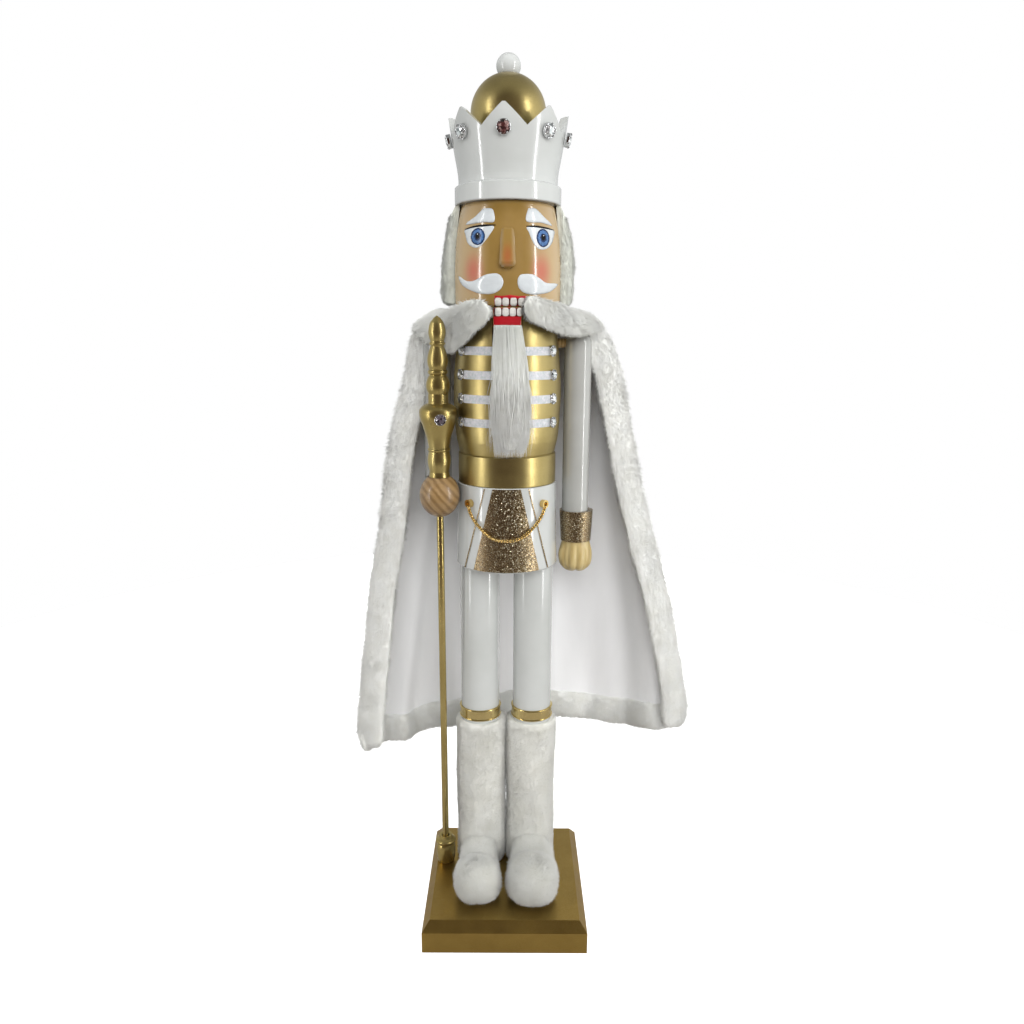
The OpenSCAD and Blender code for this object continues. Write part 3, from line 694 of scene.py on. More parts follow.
def fur(name, shell, count, length, seed, flow=(0, 0, -1), rise=0.48, spread=0.28, locks=0.3, width=0.34,
        keep=None, paint="plush", **how):
    """Short pile standing on a shell: strands lean along flow, rise from the surface and gather in locks.
    They are shorter where the surface faces down or they point up. width is a strand's radius in millimetres."""
    rng = np.random.default_rng(seed)
    points, normals = scatter(shell, count, rng, keep)
    lie = flow(points, normals) if callable(flow) else np.broadcast_to(np.array(flow, float), points.shape)
    lie = unit(lie - normals * np.sum(lie * normals, axis=1, keepdims=True))
    swirl = wavy(points, rng, 0.03)[:, None] * np.cross(normals, lie) * 0.55
    heading = unit(normals * rise + (lie + swirl) * (1 - rise) + rng.normal(0, spread, points.shape))
    reach = length * rng.uniform(0.6, 1.1, count) * (1 + 0.22 * wavy(points, rng, 0.02))
    reach = reach * (1 - 0.4 * np.clip(-normals[:, 2], 0, 1)) * (1 - 0.5 * np.clip(heading[:, 2], 0, 1))
    roots = points - normals * 0.6 * MM
    tips = gather(points, points + heading * reach[:, None], rng, locks)
    radii = width * MM * rng.uniform(0.7, 1.2, count)[:, None]
    paths = np.stack([roots, tips], axis=1)
    with_pile(name, shell, paths, radii, normals, paint, slot="white_fur", **how)


# ---------------------------------------------------------------- camera and chain, made before the rest

make_camera()

# Route of the rope chain along the skirt, as in the CAD source, in millimetres in the row frame.
CHAIN_ROUTE = [(-40, -10, 470), (-38, -12, 463), (-34, -15.5, 456), (-29, -18.5, 450), (-23, -21.5, 444),
               (-16, -24, 439), (-8, -26, 436.5), (0, -26.5, 436), (8, -26, 436.5), (16, -24, 439),
               (23, -21.5, 444), (29, -18.5, 450), (34, -15.5, 456), (38, -12, 463), (40, -10, 470)]
CHAIN_D = 4 * MM


def rope(line, radius, wires, pitch):
    """Wires twisted round a line, as one part, and the line's length."""
    gaps = np.linalg.norm(np.diff(line, axis=0), axis=1)
    at = np.concatenate([[0], np.cumsum(gaps)])
    s = np.linspace(0, at[-1], int(at[-1] / (0.45 * MM)))
    line = np.stack([np.interp(s, at, line[:, i]) for i in range(3)], 1)
    _, side, up = frames(line)
    wire = radius * 0.52
    parts = []
    for k in range(wires):
        a = (2 * np.pi * (s / pitch + k / wires))[:, None]
        parts.append(tube(line + (radius - wire) * (np.cos(a) * side + np.sin(a) * up), wire, 6))
    return join(parts), at[-1]


chain_line = curve(np.array(CHAIN_ROUTE) * MM, 6)
chain_part, chain_length = rope(chain_line, CHAIN_D / 2, 2, 6.2 * MM)
chain = add("rope_chain", chain_part, "gold_metal", slot="gold_metal", replaces=["chain"])


# ---------------------------------------------------------------- finishes on the CAD parts

NODE_PAINT = {
    "base_gold": ["base"],
    "gold_paint": ["belt", "chest", "crown_dome"],
    "staff_gold": ["staff_ferrule", "staff_finial"],
    "rod_gold": ["staff_rod"],
    "white_lacquer": ["left_leg", "right_leg", "hip_block", "crown", "crown_ball"],
    # The sleeves take the darker lacquer, as painted shade.
    "sleeve_lacquer_painted_shade": ["hanging_sleeve", "staff_sleeve"],
    "skin": ["head", "nose", "jaw_lever"],
    "hand_wood": ["staff_hand"],
    "plain_wood": ["left_foot", "right_foot", "leg_dowels", "waist_dowel", "shoulder_dowels", "neck_dowels",
                   "crown_dowel"],
    "glitter": ["skirt_panel", "skirt_edging", "hanging_cuff", "staff_cuff"],
    "gold_metal": ["chain_eyelets"],
    "bright_gold": ["left_boot_band", "right_boot_band"],
    "white_braid": ["chest_braid"],
    "steel": ["lever_pin"],
}
# Worn edge radius of each block, in millimetres.
SOFT_EDGES = {"base": 1.2, "belt": 0.8, "chest": 0.8, "crown": 0.7, "hip_block": 0.8, "hanging_cuff": 0.5,
              "jaw_lever": 0.3, "left_leg": 0.8, "right_leg": 0.8, "chain_eyelets": 0.4, "staff_cuff": 0.4}


def finish_nodes():
    for paint, names in NODE_PAINT.items():
        for name in names:
            nodes[name].data.materials.clear()
            nodes[name].data.materials.append(PAINTS[paint])
    for name, size in SOFT_EDGES.items():
        bevel = nodes[name].modifiers.new("soft_edges", "BEVEL")
        bevel.width, bevel.segments, bevel.limit_method = size * MM, 3, "ANGLE"
        bevel.angle_limit = math.radians(35)
        bevel.harden_normals = True


finish_nodes()


# ---------------------------------------------------------------- boots, toes and their bands

def boot(word, side):
    """Plush sleeve round a leg, with slight creases. Its inner side swells towards the other boot."""
    low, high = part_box(f"{word}_leg")
    x, y, leg = (low.x + high.x) / 2, (low.y + high.y) / 2, (high.x - low.x) / 2
    top_z = bottom(f"{word}_boot_band") - 3 * MM
    rng = np.random.default_rng(11 + side)
    creases = [(rng.uniform(0.05, 0.17), rng.uniform(0, 6.3), rng.uniform(0.2, 0.6), rng.uniform(-0.02, 0.02))
               for _ in range(7)]

    def bumps(a, z):
        out = (2.5 * MM * np.clip(-side * np.cos(a), 0, 1) ** 2 + 0.5 * MM * np.sin(2 * a + 40 * z)
               + 0.4 * MM * np.sin(3 * a - 55 * z + side))
        for dz, at, depth, lean in creases:
            out = out - depth * MM * np.exp(-((z - BASE_TOP - dz - lean * np.sin(a - at)) / (3.5 * MM)) ** 2) \
                * np.clip(np.cos(a - at), 0, 1)
        return out

    outline = [(22.1, BASE_TOP + 0.5 * MM), (24.6, BASE_TOP + 0.5 * MM)]
    heights = np.linspace(BASE_TOP + 4 * MM, top_z - 5 * MM, 60)
    outline += [(25.2 + 1.3 * (z - BASE_TOP) / (top_z - BASE_TOP), z) for z in heights]
    outline += [(25.4, top_z - 2 * MM), (23.6, top_z), (22.1, top_z - 0.6 * MM)]
    shell = placed(lathe([(r * MM, z) for r, z in outline], 64, bumps), (x, y, 0))
    fur(f"{word}_boot_plush", shell, 45000, 4.0 * MM, 21 + side, rise=0.55, spread=0.3, width=0.26, relief=0.9,
        keep=lambda p, n: (np.hypot(p[:, 0] - x, p[:, 1] - y) > leg + 1.5 * MM).astype(float),
        paint="boot_plush", replaces=[f"{word}_boot_fur"])


def toe(word, side):
    """Round fluffy toe. A lower neck runs back to the boot over the wooden foot."""
    low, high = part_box(f"{word}_toe_fur")
    r = (high.x - low.x) / 2
    at = np.array([(low.x + high.x) / 2, low.y + r, BASE_TOP + r * 0.94])
    shell_r, neck_half, neck_up = r - 3.6 * MM, r - 6 * MM, 9 * MM
    profile = []
    for a in np.linspace(0, 0.86 * np.pi, 26):
        q, y = shell_r * math.sin(a), at[1] - shell_r * math.cos(a)
        behind = y > at[1]
        profile.append((max(q, neck_half) if behind else q, max(q, neck_up) if behind else q, y))
    start, end = profile[-1][2], AXIS_Y - 20 * MM
    for t in np.linspace(0, 1, 8)[1:]:
        profile.append((neck_half * (1 - 0.22 * t), neck_up + 9 * MM * t ** 2, start + (end - start) * t))
    ring_a = np.linspace(0, 2 * np.pi, 56, endpoint=False)
    c, s = np.cos(ring_a), np.sin(ring_a)
    rings = []
    for wide, tall, y in profile:
        across = np.where(s < 0, np.sign(c) * np.abs(c) ** 0.7, c)
        height = np.where(s < 0, -(wide + 2.6 * MM * min(1, wide / neck_half)) * np.abs(s) ** 0.6, tall * s)
        z = np.maximum(at[2] + height, BASE_TOP + 0.4 * MM)
        rings.append(np.stack([at[0] - wide * across, np.full(56, y), z], 1))
    shell = loft(rings)

    def away(points, normals):
        down = np.tile([0.0, -0.25, -1.0], (len(points), 1))
        return unit(down + 0.6 * (points - at) / r)

    fur(f"{word}_toe_plush", shell, 42000, 7.0 * MM, 31 + side, flow=away, rise=0.62, spread=0.3, locks=0.4,
        width=0.26, relief=0.8, keep=lambda p, n: (p[:, 2] > BASE_TOP + 1.5 * MM).astype(float),
        paint="boot_plush", replaces=[f"{word}_toe_fur"])


def boot_band(word):
    """Gold ribbon round a boot's top: a round edge above and below, and low upright ribs between them."""
    low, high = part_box(f"{word}_boot_band")
    x, y, z, tall = (low.x + high.x) / 2, (low.y + high.y) / 2, (low.z + high.z) / 2, high.z - low.z
    edge_r, edge_half = (high.x - low.x) / 2 + 0.1 * MM, 0.8 * MM
    rib_r, rib_half, ribs = edge_r - 0.48 * MM, 0.5 * MM, 40
    around = np.linspace(0, 2 * np.pi, 181)
    parts = []
    for edge_z in (low.z + 1.1 * MM, high.z - 1.1 * MM):
        ring = np.stack([x + edge_r * np.cos(around), y + edge_r * np.sin(around), np.full(181, edge_z)], 1)
        parts.append(tube(ring, edge_half, 10))
    t = np.linspace(-1, 1, 5)
    bow = rib_r - 0.3 * MM * t ** 2
    for k in range(ribs):
        a = 2 * np.pi * k / ribs
        line = np.stack([x + bow * np.cos(a), y + bow * np.sin(a), z + t * (tall / 2 - 1.4 * MM)], 1)
        parts.append(tube(line, rib_half, 8))
    add(f"{word}_boot_braid", join(parts), "bright_gold", slot="gold_ribbon")


for side_word, side_sign in SIDES.items():
    boot(side_word, side_sign)
    toe(side_word, side_sign)
    boot_band(side_word)


# ---------------------------------------------------------------- cape

# The cape's own shape, as in the CAD source: half-widths, back depth, centre and wrap angles by height (mm).
LEFT_W = [(165, 168), (209, 166), (276, 158), (369, 147), (439, 134), (507, 126), (547, 118), (600, 104),
          (653, 97)]
RIGHT_W = [(187, 220), (215, 216), (257, 207), (332, 189), (404, 166), (473, 146), (540, 131), (605, 116),
           (653, 98)]
BACK_Y = [(165, 92), (400, 95), (600, 97), (653, 93)]
CENTRE_Y = [(165, 20), (400, 18), (653, 12)]
LEFT_WRAP = [(165, 105), (500, 100), (653, 92)]
RIGHT_WRAP = [(165, 78), (500, 88), (653, 92)]
HEM_Z = [(-105, 172), (-40, 166), (0, 165), (40, 170), (78, 187)]
CAPE_TOP = 653

# The fur bands: width and thickness, how far the front ones roll to face forward, and the hem band's line, whose
# dips and rises are listed by share u.
TRIM_W, TRIM_T = 34 * MM, 11 * MM
ROLL = 0.8
HEM_V = 0.972
HEM_DIP = [(0.0, -0.008), (0.06, 0.006), (0.12, 0.018), (0.2, 0.026), (0.3, 0.023), (0.4, 0.012),
           (0.5, -0.004), (0.66, -0.020), (0.8, 0.002), (0.88, 0.006), (1.0, 0.0)]


def look(x, table):
    """A value read off a table of (x, value) rows."""
    return np.interp(x, *zip(*table))


def cape_plain(u, v):
    """The cape without its folds: u runs from the left front edge to the right one, and v from top to hem."""
    rough = -105 + 183 * u
    z = CAPE_TOP + (look(rough, HEM_Z) - CAPE_TOP) * v
    left, right = look(z, LEFT_WRAP), look(z, RIGHT_WRAP)
    a = np.radians(-left + (left + right) * u)
    w = np.where(a < 0, look(z, LEFT_W), look(z, RIGHT_W))
    c = look(z, CENTRE_Y)
    return np.stack([w * np.sin(a), AXIS_Y / MM + c + (look(z, BACK_Y) - c) * np.cos(a), z], -1) * MM


def cape_normal(u, v, d=0.012):
    """Outward: away from the figure."""
    across = cape_plain(u + d, v) - cape_plain(u - d, v)
    down = cape_plain(u, v + d) - cape_plain(u, v - d)
    return unit(np.cross(across, down))


def cape_fold(u, v):
    """How far the cloth swings in and out: long folds that open towards the hem."""
    drop = np.clip(v, 0, 1) ** 1.4
    edge = np.clip(np.minimum(u, 1 - u) / 0.14, 0, 1)
    waves = (np.sin(2 * np.pi * (5.2 * u + 0.15 * v) + 0.6)
             + 0.5 * np.sin(2 * np.pi * (8.7 * u - 0.2 * v) + 2.1)
             + 0.18 * np.sin(2 * np.pi * (15 * u + 0.3 * v)))
    return 5.0 * MM * drop * waves * (0.35 + 0.65 * edge)


OUT = 1.0 if cape_normal(np.array([0.5]), np.array([0.5]))[0, 1] > 0 else -1.0


def cape_at(u, v, off=0.0):
    u, v = np.asarray(u, float), np.asarray(v, float)
    shift = cape_fold(u, v) + off
    return cape_plain(u, v) + cape_normal(u, v) * OUT * shift[..., None]


def edge_share(v, inset):
    """The share u that lies inset metres in from the cape's front edge, at each v."""
    u = np.linspace(0, 1, 60)
    wide = [np.sum(np.linalg.norm(np.diff(cape_plain(u, np.full(60, one)), axis=0), axis=1)) for one in v]
    return inset / np.array(wide)


def cape():
    """Cloth and lining as one closed sheet, hung from the collar. Its edges end inside the fur bands."""
    cols, rows = 260, 150
    v = np.linspace(0.0, HEM_V, rows)
    edge = edge_share(v, 22 * MM)
    u = edge[:, None] + (1 - 2 * edge[:, None]) * np.linspace(0, 1, cols)
    v = np.repeat(v[:, None], cols, axis=1)
    half = 0.9 * MM
    outer, inner = cape_at(u, v, half), cape_at(u, v, -half)
    part = loft(np.concatenate([outer, inner[:, ::-1]], axis=1), hairpin=True)
    obj = add("cape_cloth", check_out(part), "lining", slot="cape_lining", replaces=["cape"])


def band(us, vs, side=None):
    """A soft padded band with round ends along a path on the cape. us and vs run along it.
    With a side, it is a front band: it is rolled to face forward, and moved in so that its outer edge stays."""
    us, vs = np.asarray(us, float), np.asarray(vs, float)
    path, normal = cape_at(us, vs), cape_normal(us, vs) * OUT
    tangent = unit(np.gradient(path, axis=0))
    if side:
        ahead = np.array([side * 0.35, -1.0, 0.0])
        forward = unit(ahead - tangent * (tangent @ ahead)[:, None])
        path = path - np.array([side, 0, 0]) * (TRIM_W - TRIM_T) / 2 * ROLL * (0.8 if side < 0 else 0.6)
        normal = unit(normal * (1 - ROLL) + forward * ROLL)
    across = unit(np.cross(normal, tangent))
    a = np.linspace(0, 2 * np.pi, 26, endpoint=False)[None, :, None]
    t = np.linspace(0, 1, 7)[1:]
    grow = np.ones(len(us))
    grow[:6] = np.sqrt(1 - (1 - t) ** 2)
    grow[-6:] = grow[:6][::-1]
    ring = TRIM_W / 2 * np.cos(a) * across[:, None] - TRIM_T / 2 * np.sin(a) * normal[:, None]
    return check_out(loft(path[:, None] + grow[:, None, None] * ring))


def trims():
    """Fur bands down both front edges and along the hem."""
    for word, sign in SIDES.items():
        low = 1.0 if sign < 0 else 1.006
        v = np.concatenate([np.linspace(0.0, low - 0.042, 74), np.linspace(low - 0.036, low, 7)])
        inset = edge_share(v, 15 * MM)
        fur(f"cape_{word}_fur", band(inset if sign < 0 else 1 - inset, v, sign), 46000, 6.4 * MM, 43 + sign,
            replaces=[f"cape_{word}_trim"])
    us = np.linspace(0.03, 0.965, 150)
    fur("cape_hem_fur", band(us, HEM_V + look(us, HEM_DIP)), 46000, 6.4 * MM, 51, width=0.36,
        replaces=["cape_hem_trim"])


cape()
trims()

# Fur collar by angle from the front: radius, height, half-width, half-thickness and slope in degrees, where 90 is
# upright. The staff's side hangs lower than the other.
COLLAR = {
    -1: [(16, 60.5, 666, 6, 3.0, 84), (27, 61.0, 664, 14, 3.6, 84), (42, 61.5, 657, 20, 3.6, 84),
         (58, 62.0, 649, 24, 3.4, 82), (74, 67.0, 651, 22, 4.0, 62), (90, 80.0, 657, 19, 5.5, 28),
         (112, 86.0, 661, 17, 6.0, 24), (140, 86.0, 661, 17, 6.0, 24), (180, 89.5, 661, 14, 6.0, 26)],
    1: [(16, 60.5, 670, 10, 3.0, 84), (24, 61.0, 669, 12.5, 3.6, 84), (40, 61.5, 664, 14, 3.8, 84),
        (58, 62.5, 660, 15, 4.2, 80), (74, 68.0, 658, 17, 4.8, 58), (90, 80.0, 660, 18, 5.5, 28),
        (112, 86.0, 661, 17, 6.0, 24), (140, 86.0, 661, 17, 6.0, 24), (180, 89.5, 661, 14, 6.0, 26)],
}


def collar():
    """The collar's padded body, open in front."""
    rings = []
    section = np.linspace(0, 2 * np.pi, 28, endpoint=False)
    for sign in (-1, 1):
        half = []
        for a in np.linspace(16, 180, 96):
            rows = np.array(COLLAR[sign], float)
            r, z, wide, thick, slope = (np.interp(a, rows[:, 0], rows[:, i]) for i in range(1, 6))
            end = math.sqrt(1 - (1 - (a - 15.5) / 6) ** 2) if a < 21.5 else 1.0
            t = math.radians(slope)
            across = wide * end * np.cos(section)
            through = thick * end * np.sin(section)
            rr = r - across * math.cos(t) + through * math.sin(t)
            zz = z + across * math.sin(t) + through * math.cos(t)
            az = math.radians(a) * sign
            half.append(about_axis(np.stack([rr * np.sin(az), -rr * np.cos(az), zz], 1) * MM))
        rings += half if sign < 0 else half[-2::-1]
    return check_out(loft(rings))


def down_slope(points, normals):
    """The collar's pile runs outwards and down over the shoulders, and down in front."""
    out = unit((points - np.array([0, AXIS_Y, 0])) * [1, 1, 0])
    return unit(out * 0.5 - UP)


# The collar takes the darker copy of the plush, as painted shade.
fur("fur_collar", collar(), 46000, 6.6 * MM, 61, flow=down_slope, rise=0.4, locks=0.35, spread=0.26,
    paint="collar_plush_painted_shade", replaces=["cape_collar"])


# ---------------------------------------------------------------- hair and beard

def hair():
    """Hair round the sides and back of the head, from in front of the ears, in locks that hang down.
    It is cut away at the back for the jaw's lever."""
    low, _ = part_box("hair")
    front = math.acos((AXIS_Y - low.y) / (66 * MM))
    outer = [(57.2, 1), (62, 0.5), (65.8, 4), (67, 14), (67, 34), (65.5, 52), (62.5, 68), (58.5, 84)]
    inner = [(49.5, 98), (53.2, 70), (55.0, 50), (55.6, 36), (55.5, 20), (55.2, 8)]
    section = [(r * MM, low.z + z * MM) for r, z in outer]
    section += [(55.5 * MM, CROWN_Z - 4 * MM), (53.0 * MM, CROWN_Z - 0.6 * MM)]
    section = loop(section + [(r * MM, HEAD_Z + z * MM) for r, z in inner], 3)
    core, lever_half, lever_top = 56 * MM, 0.33, HEAD_Z + 17.5 * MM
    turn_in = front + 0.14 * (1 - np.cos(np.linspace(0, np.pi / 2, 10)))
    rings = []
    for a in np.concatenate([turn_in, np.linspace(front + 0.15, 2 * np.pi - front - 0.15, 110),
                             2 * np.pi - turn_in[::-1]]):
        z = np.maximum(section[:, 1], lever_top) if abs(a - math.pi) < lever_half else section[:, 1]
        r = section[:, 0] + 0.8 * MM * np.sin(9 * a + 60 * section[:, 1])
        swell = math.sqrt(max(0.0, 1 - max(0.0, 1 - min(a - front, 2 * np.pi - front - a) / 0.14) ** 2))
        swollen = np.minimum(r, core) + np.maximum(r - core, 0) * swell
        r = np.where(section[:, 0] < 57 * MM, section[:, 0], swollen)
        rings.append(about_axis(np.stack([r * math.sin(a), -r * math.cos(a), z], 1)))

    def outside(points, normals):
        inner_r = np.where(normals[:, 1] < -0.6, 54, 57.5) * MM
        return (np.hypot(points[:, 0], points[:, 1] - AXIS_Y) > inner_r).astype(float)

    fur("wool_hair", check_out(loft(rings)), 40000, 7 * MM, 72, flow=(0, -0.2, -1), rise=0.22, locks=0.45,
        spread=0.16, keep=outside, paint="hair_fur", replaces=["hair"])


hair()

# The beard in millimetres: its top below the head's underside and its length, then its sideways lean, half-width
# and depths of its back and front by distance below the head.
BEARD_TOP, BEARD_DROP = 17.5, 131
BEARD_X = [(17.5, 0.6), (50, 2.6), (80, 3.6), (149, 3.4)]
BEARD_W = [(17.5, 13.8), (26, 14.8), (36, 15.6), (50, 16.4), (72, 17.4), (100, 17.8), (128, 16.6), (149, 14)]
BEARD_BACK = [(17.5, -59.0), (35, -60.5), (51, -62.5), (149, -62.5)]
BEARD_FRONT = [(17.5, -66.0), (40, -70.5), (70, -73.5), (110, -73), (135, -70), (149, -67)]


def beard():
    """Long strands that hang from under the lip and end raggedly over the belt."""
    rng = np.random.default_rng(81)
    count = 4700
    start = rng.beta(0.7, 2.2, count) * 70
    full = rng.random(count) < 0.62
    start[full] = rng.uniform(0, 6, full.sum())
    across = rng.uniform(-1, 1, count)
    deep = rng.beta(1.0, 1.5, count)
    length = rng.uniform(0.86, 1.0, count) * (BEARD_DROP - 0.5 * start)
    length = length * rng.choice([1.0, 0.9, 0.72], count, p=[0.52, 0.33, 0.15])
    length = np.minimum(length, BEARD_DROP - start - rng.exponential(4.5, count))
    phase = rng.uniform(0, 2 * np.pi, count)
    stray = np.where(rng.random(count) < 0.14, rng.normal(0, 0.32, count), 0)
    lock = np.round(across * 7) / 7
    paths = []
    for t in np.linspace(0, 1, 8):
        d = BEARD_TOP + start + length * t
        w, back, front = (look(d, table) for table in (BEARD_W, BEARD_BACK, BEARD_FRONT))
        share = across + 0.16 * t * np.sin(phase + 2.2 * t) + (lock - across) * 0.6 * t ** 2 + stray * t ** 2
        waves = 1.5 * np.sin(d / 9.5 + 7.3 * lock + 0.5 * phase) + 0.7 * np.sin(d / 5.5 + 11 * lock)
        x = share * w * 0.97 + waves * t ** 0.7 + look(d, BEARD_X)
        y = back + (front - back) * deep * np.sqrt(np.clip(1.08 - across ** 2, 0.08, 1))
        y = np.clip(y + 0.5 * np.sin(d / 15 + phase), front - 0.5, back)
        paths.append(about_axis(np.stack([x, y, HEAD_Z / MM - d], 1) * MM))
    paths = np.stack(paths, axis=1)
    radii = 0.34 * MM * rng.uniform(0.6, 1.15, count)[:, None] * np.array([0.8, 1, 1, 1, 0.9, 0.75, 0.5])[None]
    sides = np.linspace(0, 2 * np.pi, 22, endpoint=False)
    rings = []
    for d in np.linspace(18.2, 139, 30):
        lean, w, back, front = (look(d, table) for table in (BEARD_X, BEARD_W, BEARD_BACK, BEARD_FRONT))
        taper = 0.86 - 0.45 * max(0.0, (d - 105) / 34) ** 2
        x = lean + w * taper * np.cos(sides)
        y = (back + front) / 2 - (back - front) / 2 * 0.6 * np.sin(sides)
        rings.append(about_axis(np.stack([x, y, np.full(22, HEAD_Z / MM - d)], 1) * MM))
    shell = check_out(loft(rings))
    facing = unit(np.stack([across * 0.75, -np.ones(count), np.full(count, 0.05)], 1))
    with_pile("long_beard", shell, paths, radii, facing, "beard_fur", body="beard", slot="long_fur",
              replaces=["beard"], relief=0.6)


beard()


# ---------------------------------------------------------------- face

def surface_of(*names):
    """A ray-cast tree of CAD nodes' surfaces."""
    verts, polys, base = [], [], 0
    for name in names:
        mesh = nodes[name].data
        verts += [tuple(v.co) for v in mesh.vertices]
        polys += [tuple(base + i for i in p.vertices) for p in mesh.polygons]
        base = len(verts)
    return BVHTree.FromPolygons(verts, polys)


HEAD_SKIN = surface_of("head")
JAW_SKIN = surface_of("jaw_lever")
FACE_X = -1.6      # the painted features are listed as they lie on a head whose middle is 1.6 mm to the right


def decal(name, outline, paint, lift, skin=HEAD_SKIN, body="figure", steps=4, grain=1.6, dome=0.0):
    """A closed film of paint on the skin inside a smooth outline of (x, z) in millimetres.
    lift is its thickness, dome how much more the middle is raised, and grain the spacing of its inner points."""
    ring = loop(outline, steps) if steps > 1 else np.array(outline, float)
    low, high = ring.min(0), ring.max(0)

    def to_edge(x, z):
        return np.min(np.hypot(ring[:, 0] - x, ring[:, 1] - z))

    inside = [Vector((x, z)) for x in np.arange(low[0] + grain / 2, high[0], grain)
              for z in np.arange(low[1] + grain / 2, high[1], grain) if to_edge(x, z) > grain * 0.45]
    flat = [Vector(p) for p in ring.tolist()] + inside
    points, _, faces, *_ = delaunay_2d_cdt(flat, [], [list(range(len(ring)))], 1, 1e-5)
    front, back = [], []
    for x, z in points:
        at = (x + FACE_X) * MM
        hit = skin.ray_cast(Vector((at, -0.3, z * MM)), Vector((0, 1, 0)))[0]
        if hit is None:
            hit = skin.find_nearest(Vector((at, AXIS_Y - 0.05, z * MM)))[0]
        hit = np.array(hit)
        out = unit((hit - np.array([0, AXIS_Y, 0])) * [1, 1, 0])
        near = to_edge(x, z)
        rim = 0.55 + 0.45 * math.sqrt(min(1.0, near / 0.9))
        front.append(hit + out * (lift * rim + dome * min(1, near / 4) ** 0.7) * MM)
        back.append(hit - out * 0.35 * MM)

    def turned(f):
        a, b, c = (points[i] for i in f)
        return f if (b - a).cross(c - a) >= 0 else f[::-1]

    faces = [turned(list(f)) for f in faces]
    edges = {(f[i], f[(i + 1) % 3]) for f in faces for i in range(3)}
    n = len(points)
    tris = []
    for f in faces:
        tris += [f, [i + n for i in f[::-1]]]
        for p, q in zip(f, f[1:] + f[:1]):
            if (q, p) not in edges:
                tris += [[p, p + n, q + n], [p, q + n, q]]
    return add(name, (np.array(front + back), np.array(tris)), paint, body=body, slot="skin_lacquer")


def block(x_low, x_high, z_low, z_high):
    """Outline of an upright rectangle."""
    return [(x_low, z_low), (x_high, z_low), (x_high, z_high), (x_low, z_high)]


def ellipse(x, z, a, b, n=14):
    t = np.linspace(0, 2 * np.pi, n, endpoint=False)
    return [(x + a * math.cos(s), z + b * math.sin(s)) for s in t]


def tooth(x, z, w, h):
    """Outline of a tooth: a rectangle with round ends."""
    t = np.linspace(0, 2 * np.pi, 20, endpoint=False)
    c, s = np.cos(t), np.sin(t)
    return [(x + w / 2 * np.sign(i) * abs(i) ** 0.55, z + h / 2 * np.sign(j) * abs(j) ** 0.6)
            for i, j in zip(c, s)]


def stroke(points, widths):
    """Outline of a brush stroke along points, with its full width at each."""
    p = curve(points, 3)
    w = np.interp(np.linspace(0, 1, len(p)), np.linspace(0, 1, len(widths)), widths)
    t = unit(np.gradient(p, axis=0))
    side = np.stack([-t[:, 1], t[:, 0]], 1) * w[:, None] / 2
    return [tuple(q) for q in np.vstack([p + side, (p - side)[::-1]])]


BROWS = {
    "left": [(-11.5, 750.3), (-11.7, 759.5), (-14.3, 762.9), (-19.5, 763.2), (-22.6, 762.6), (-29.7, 756.4),
             (-39.7, 750), (-29.7, 749.8), (-20.9, 750.3)],
    "right": [(19.6, 751), (20.9, 762), (23, 763.4), (28.7, 763.5), (36.3, 757.2), (45.1, 749.7), (33.6, 750.9)],
}
LIDS = {
    "left": [(-40.2, 745.2), (-33.3, 746.5), (-26.1, 747.1), (-18.2, 747.2), (-10, 747.2)],
    "right": [(19.6, 746.4), (27.4, 746.8), (35.4, 746.5), (47.1, 745.6)],
}
EYES = {
    "left": [(-40.1, 744.9), (-39.7, 739.7), (-37.9, 732.7), (-34.2, 728.6), (-29.3, 726.8), (-24.4, 728.4),
             (-19.1, 733.9), (-14.8, 739.5), (-11.8, 746.1), (-25, 746.6)],
    "right": [(20.4, 745.6), (22.2, 740.7), (25.7, 732.6), (30.1, 727), (35.5, 725.6), (40.9, 727.6),
              (45.1, 732.8), (47, 739.2), (47.1, 745.5), (34, 746.4)],
}
IRIS = {"left": (-27.3, 737.2, 7.2, 8.2), "right": (36.0, 736.6, 6.7, 8.8)}
PUPIL = {"left": (-27.4, 737.7, 2.8, 3.6), "right": (36.0, 737.1, 2.7, 3.8)}
GLINT = {"left": (-27.2, 739.4), "right": (36.2, 738.8)}
MOUSTACHE = {
    "left": [(-2.4, 695.5), (-4.5, 699.6), (-8, 702), (-12.3, 702.2), (-21.1, 700.7), (-31, 696), (-39, 696),
             (-47.3, 701.5), (-42.6, 691.6), (-30.1, 685), (-21.2, 683.1), (-12.4, 683.4), (-5.5, 687.1),
             (-2.7, 692.1)],
    "right": [(11.4, 695.5), (13.6, 700.6), (17.9, 701.9), (26.7, 701.7), (33.8, 697.9), (40.2, 694.4),
              (51.9, 694.2), (44.1, 686.5), (34, 683.5), (25.9, 682.8), (18, 684.3), (12.7, 688.9)],
}
UPPER_TEETH = [-7.4, -0.1, 7.7, 15.4]
LOWER_TEETH = [-7.3, -0.1, 6.9, 14.1]


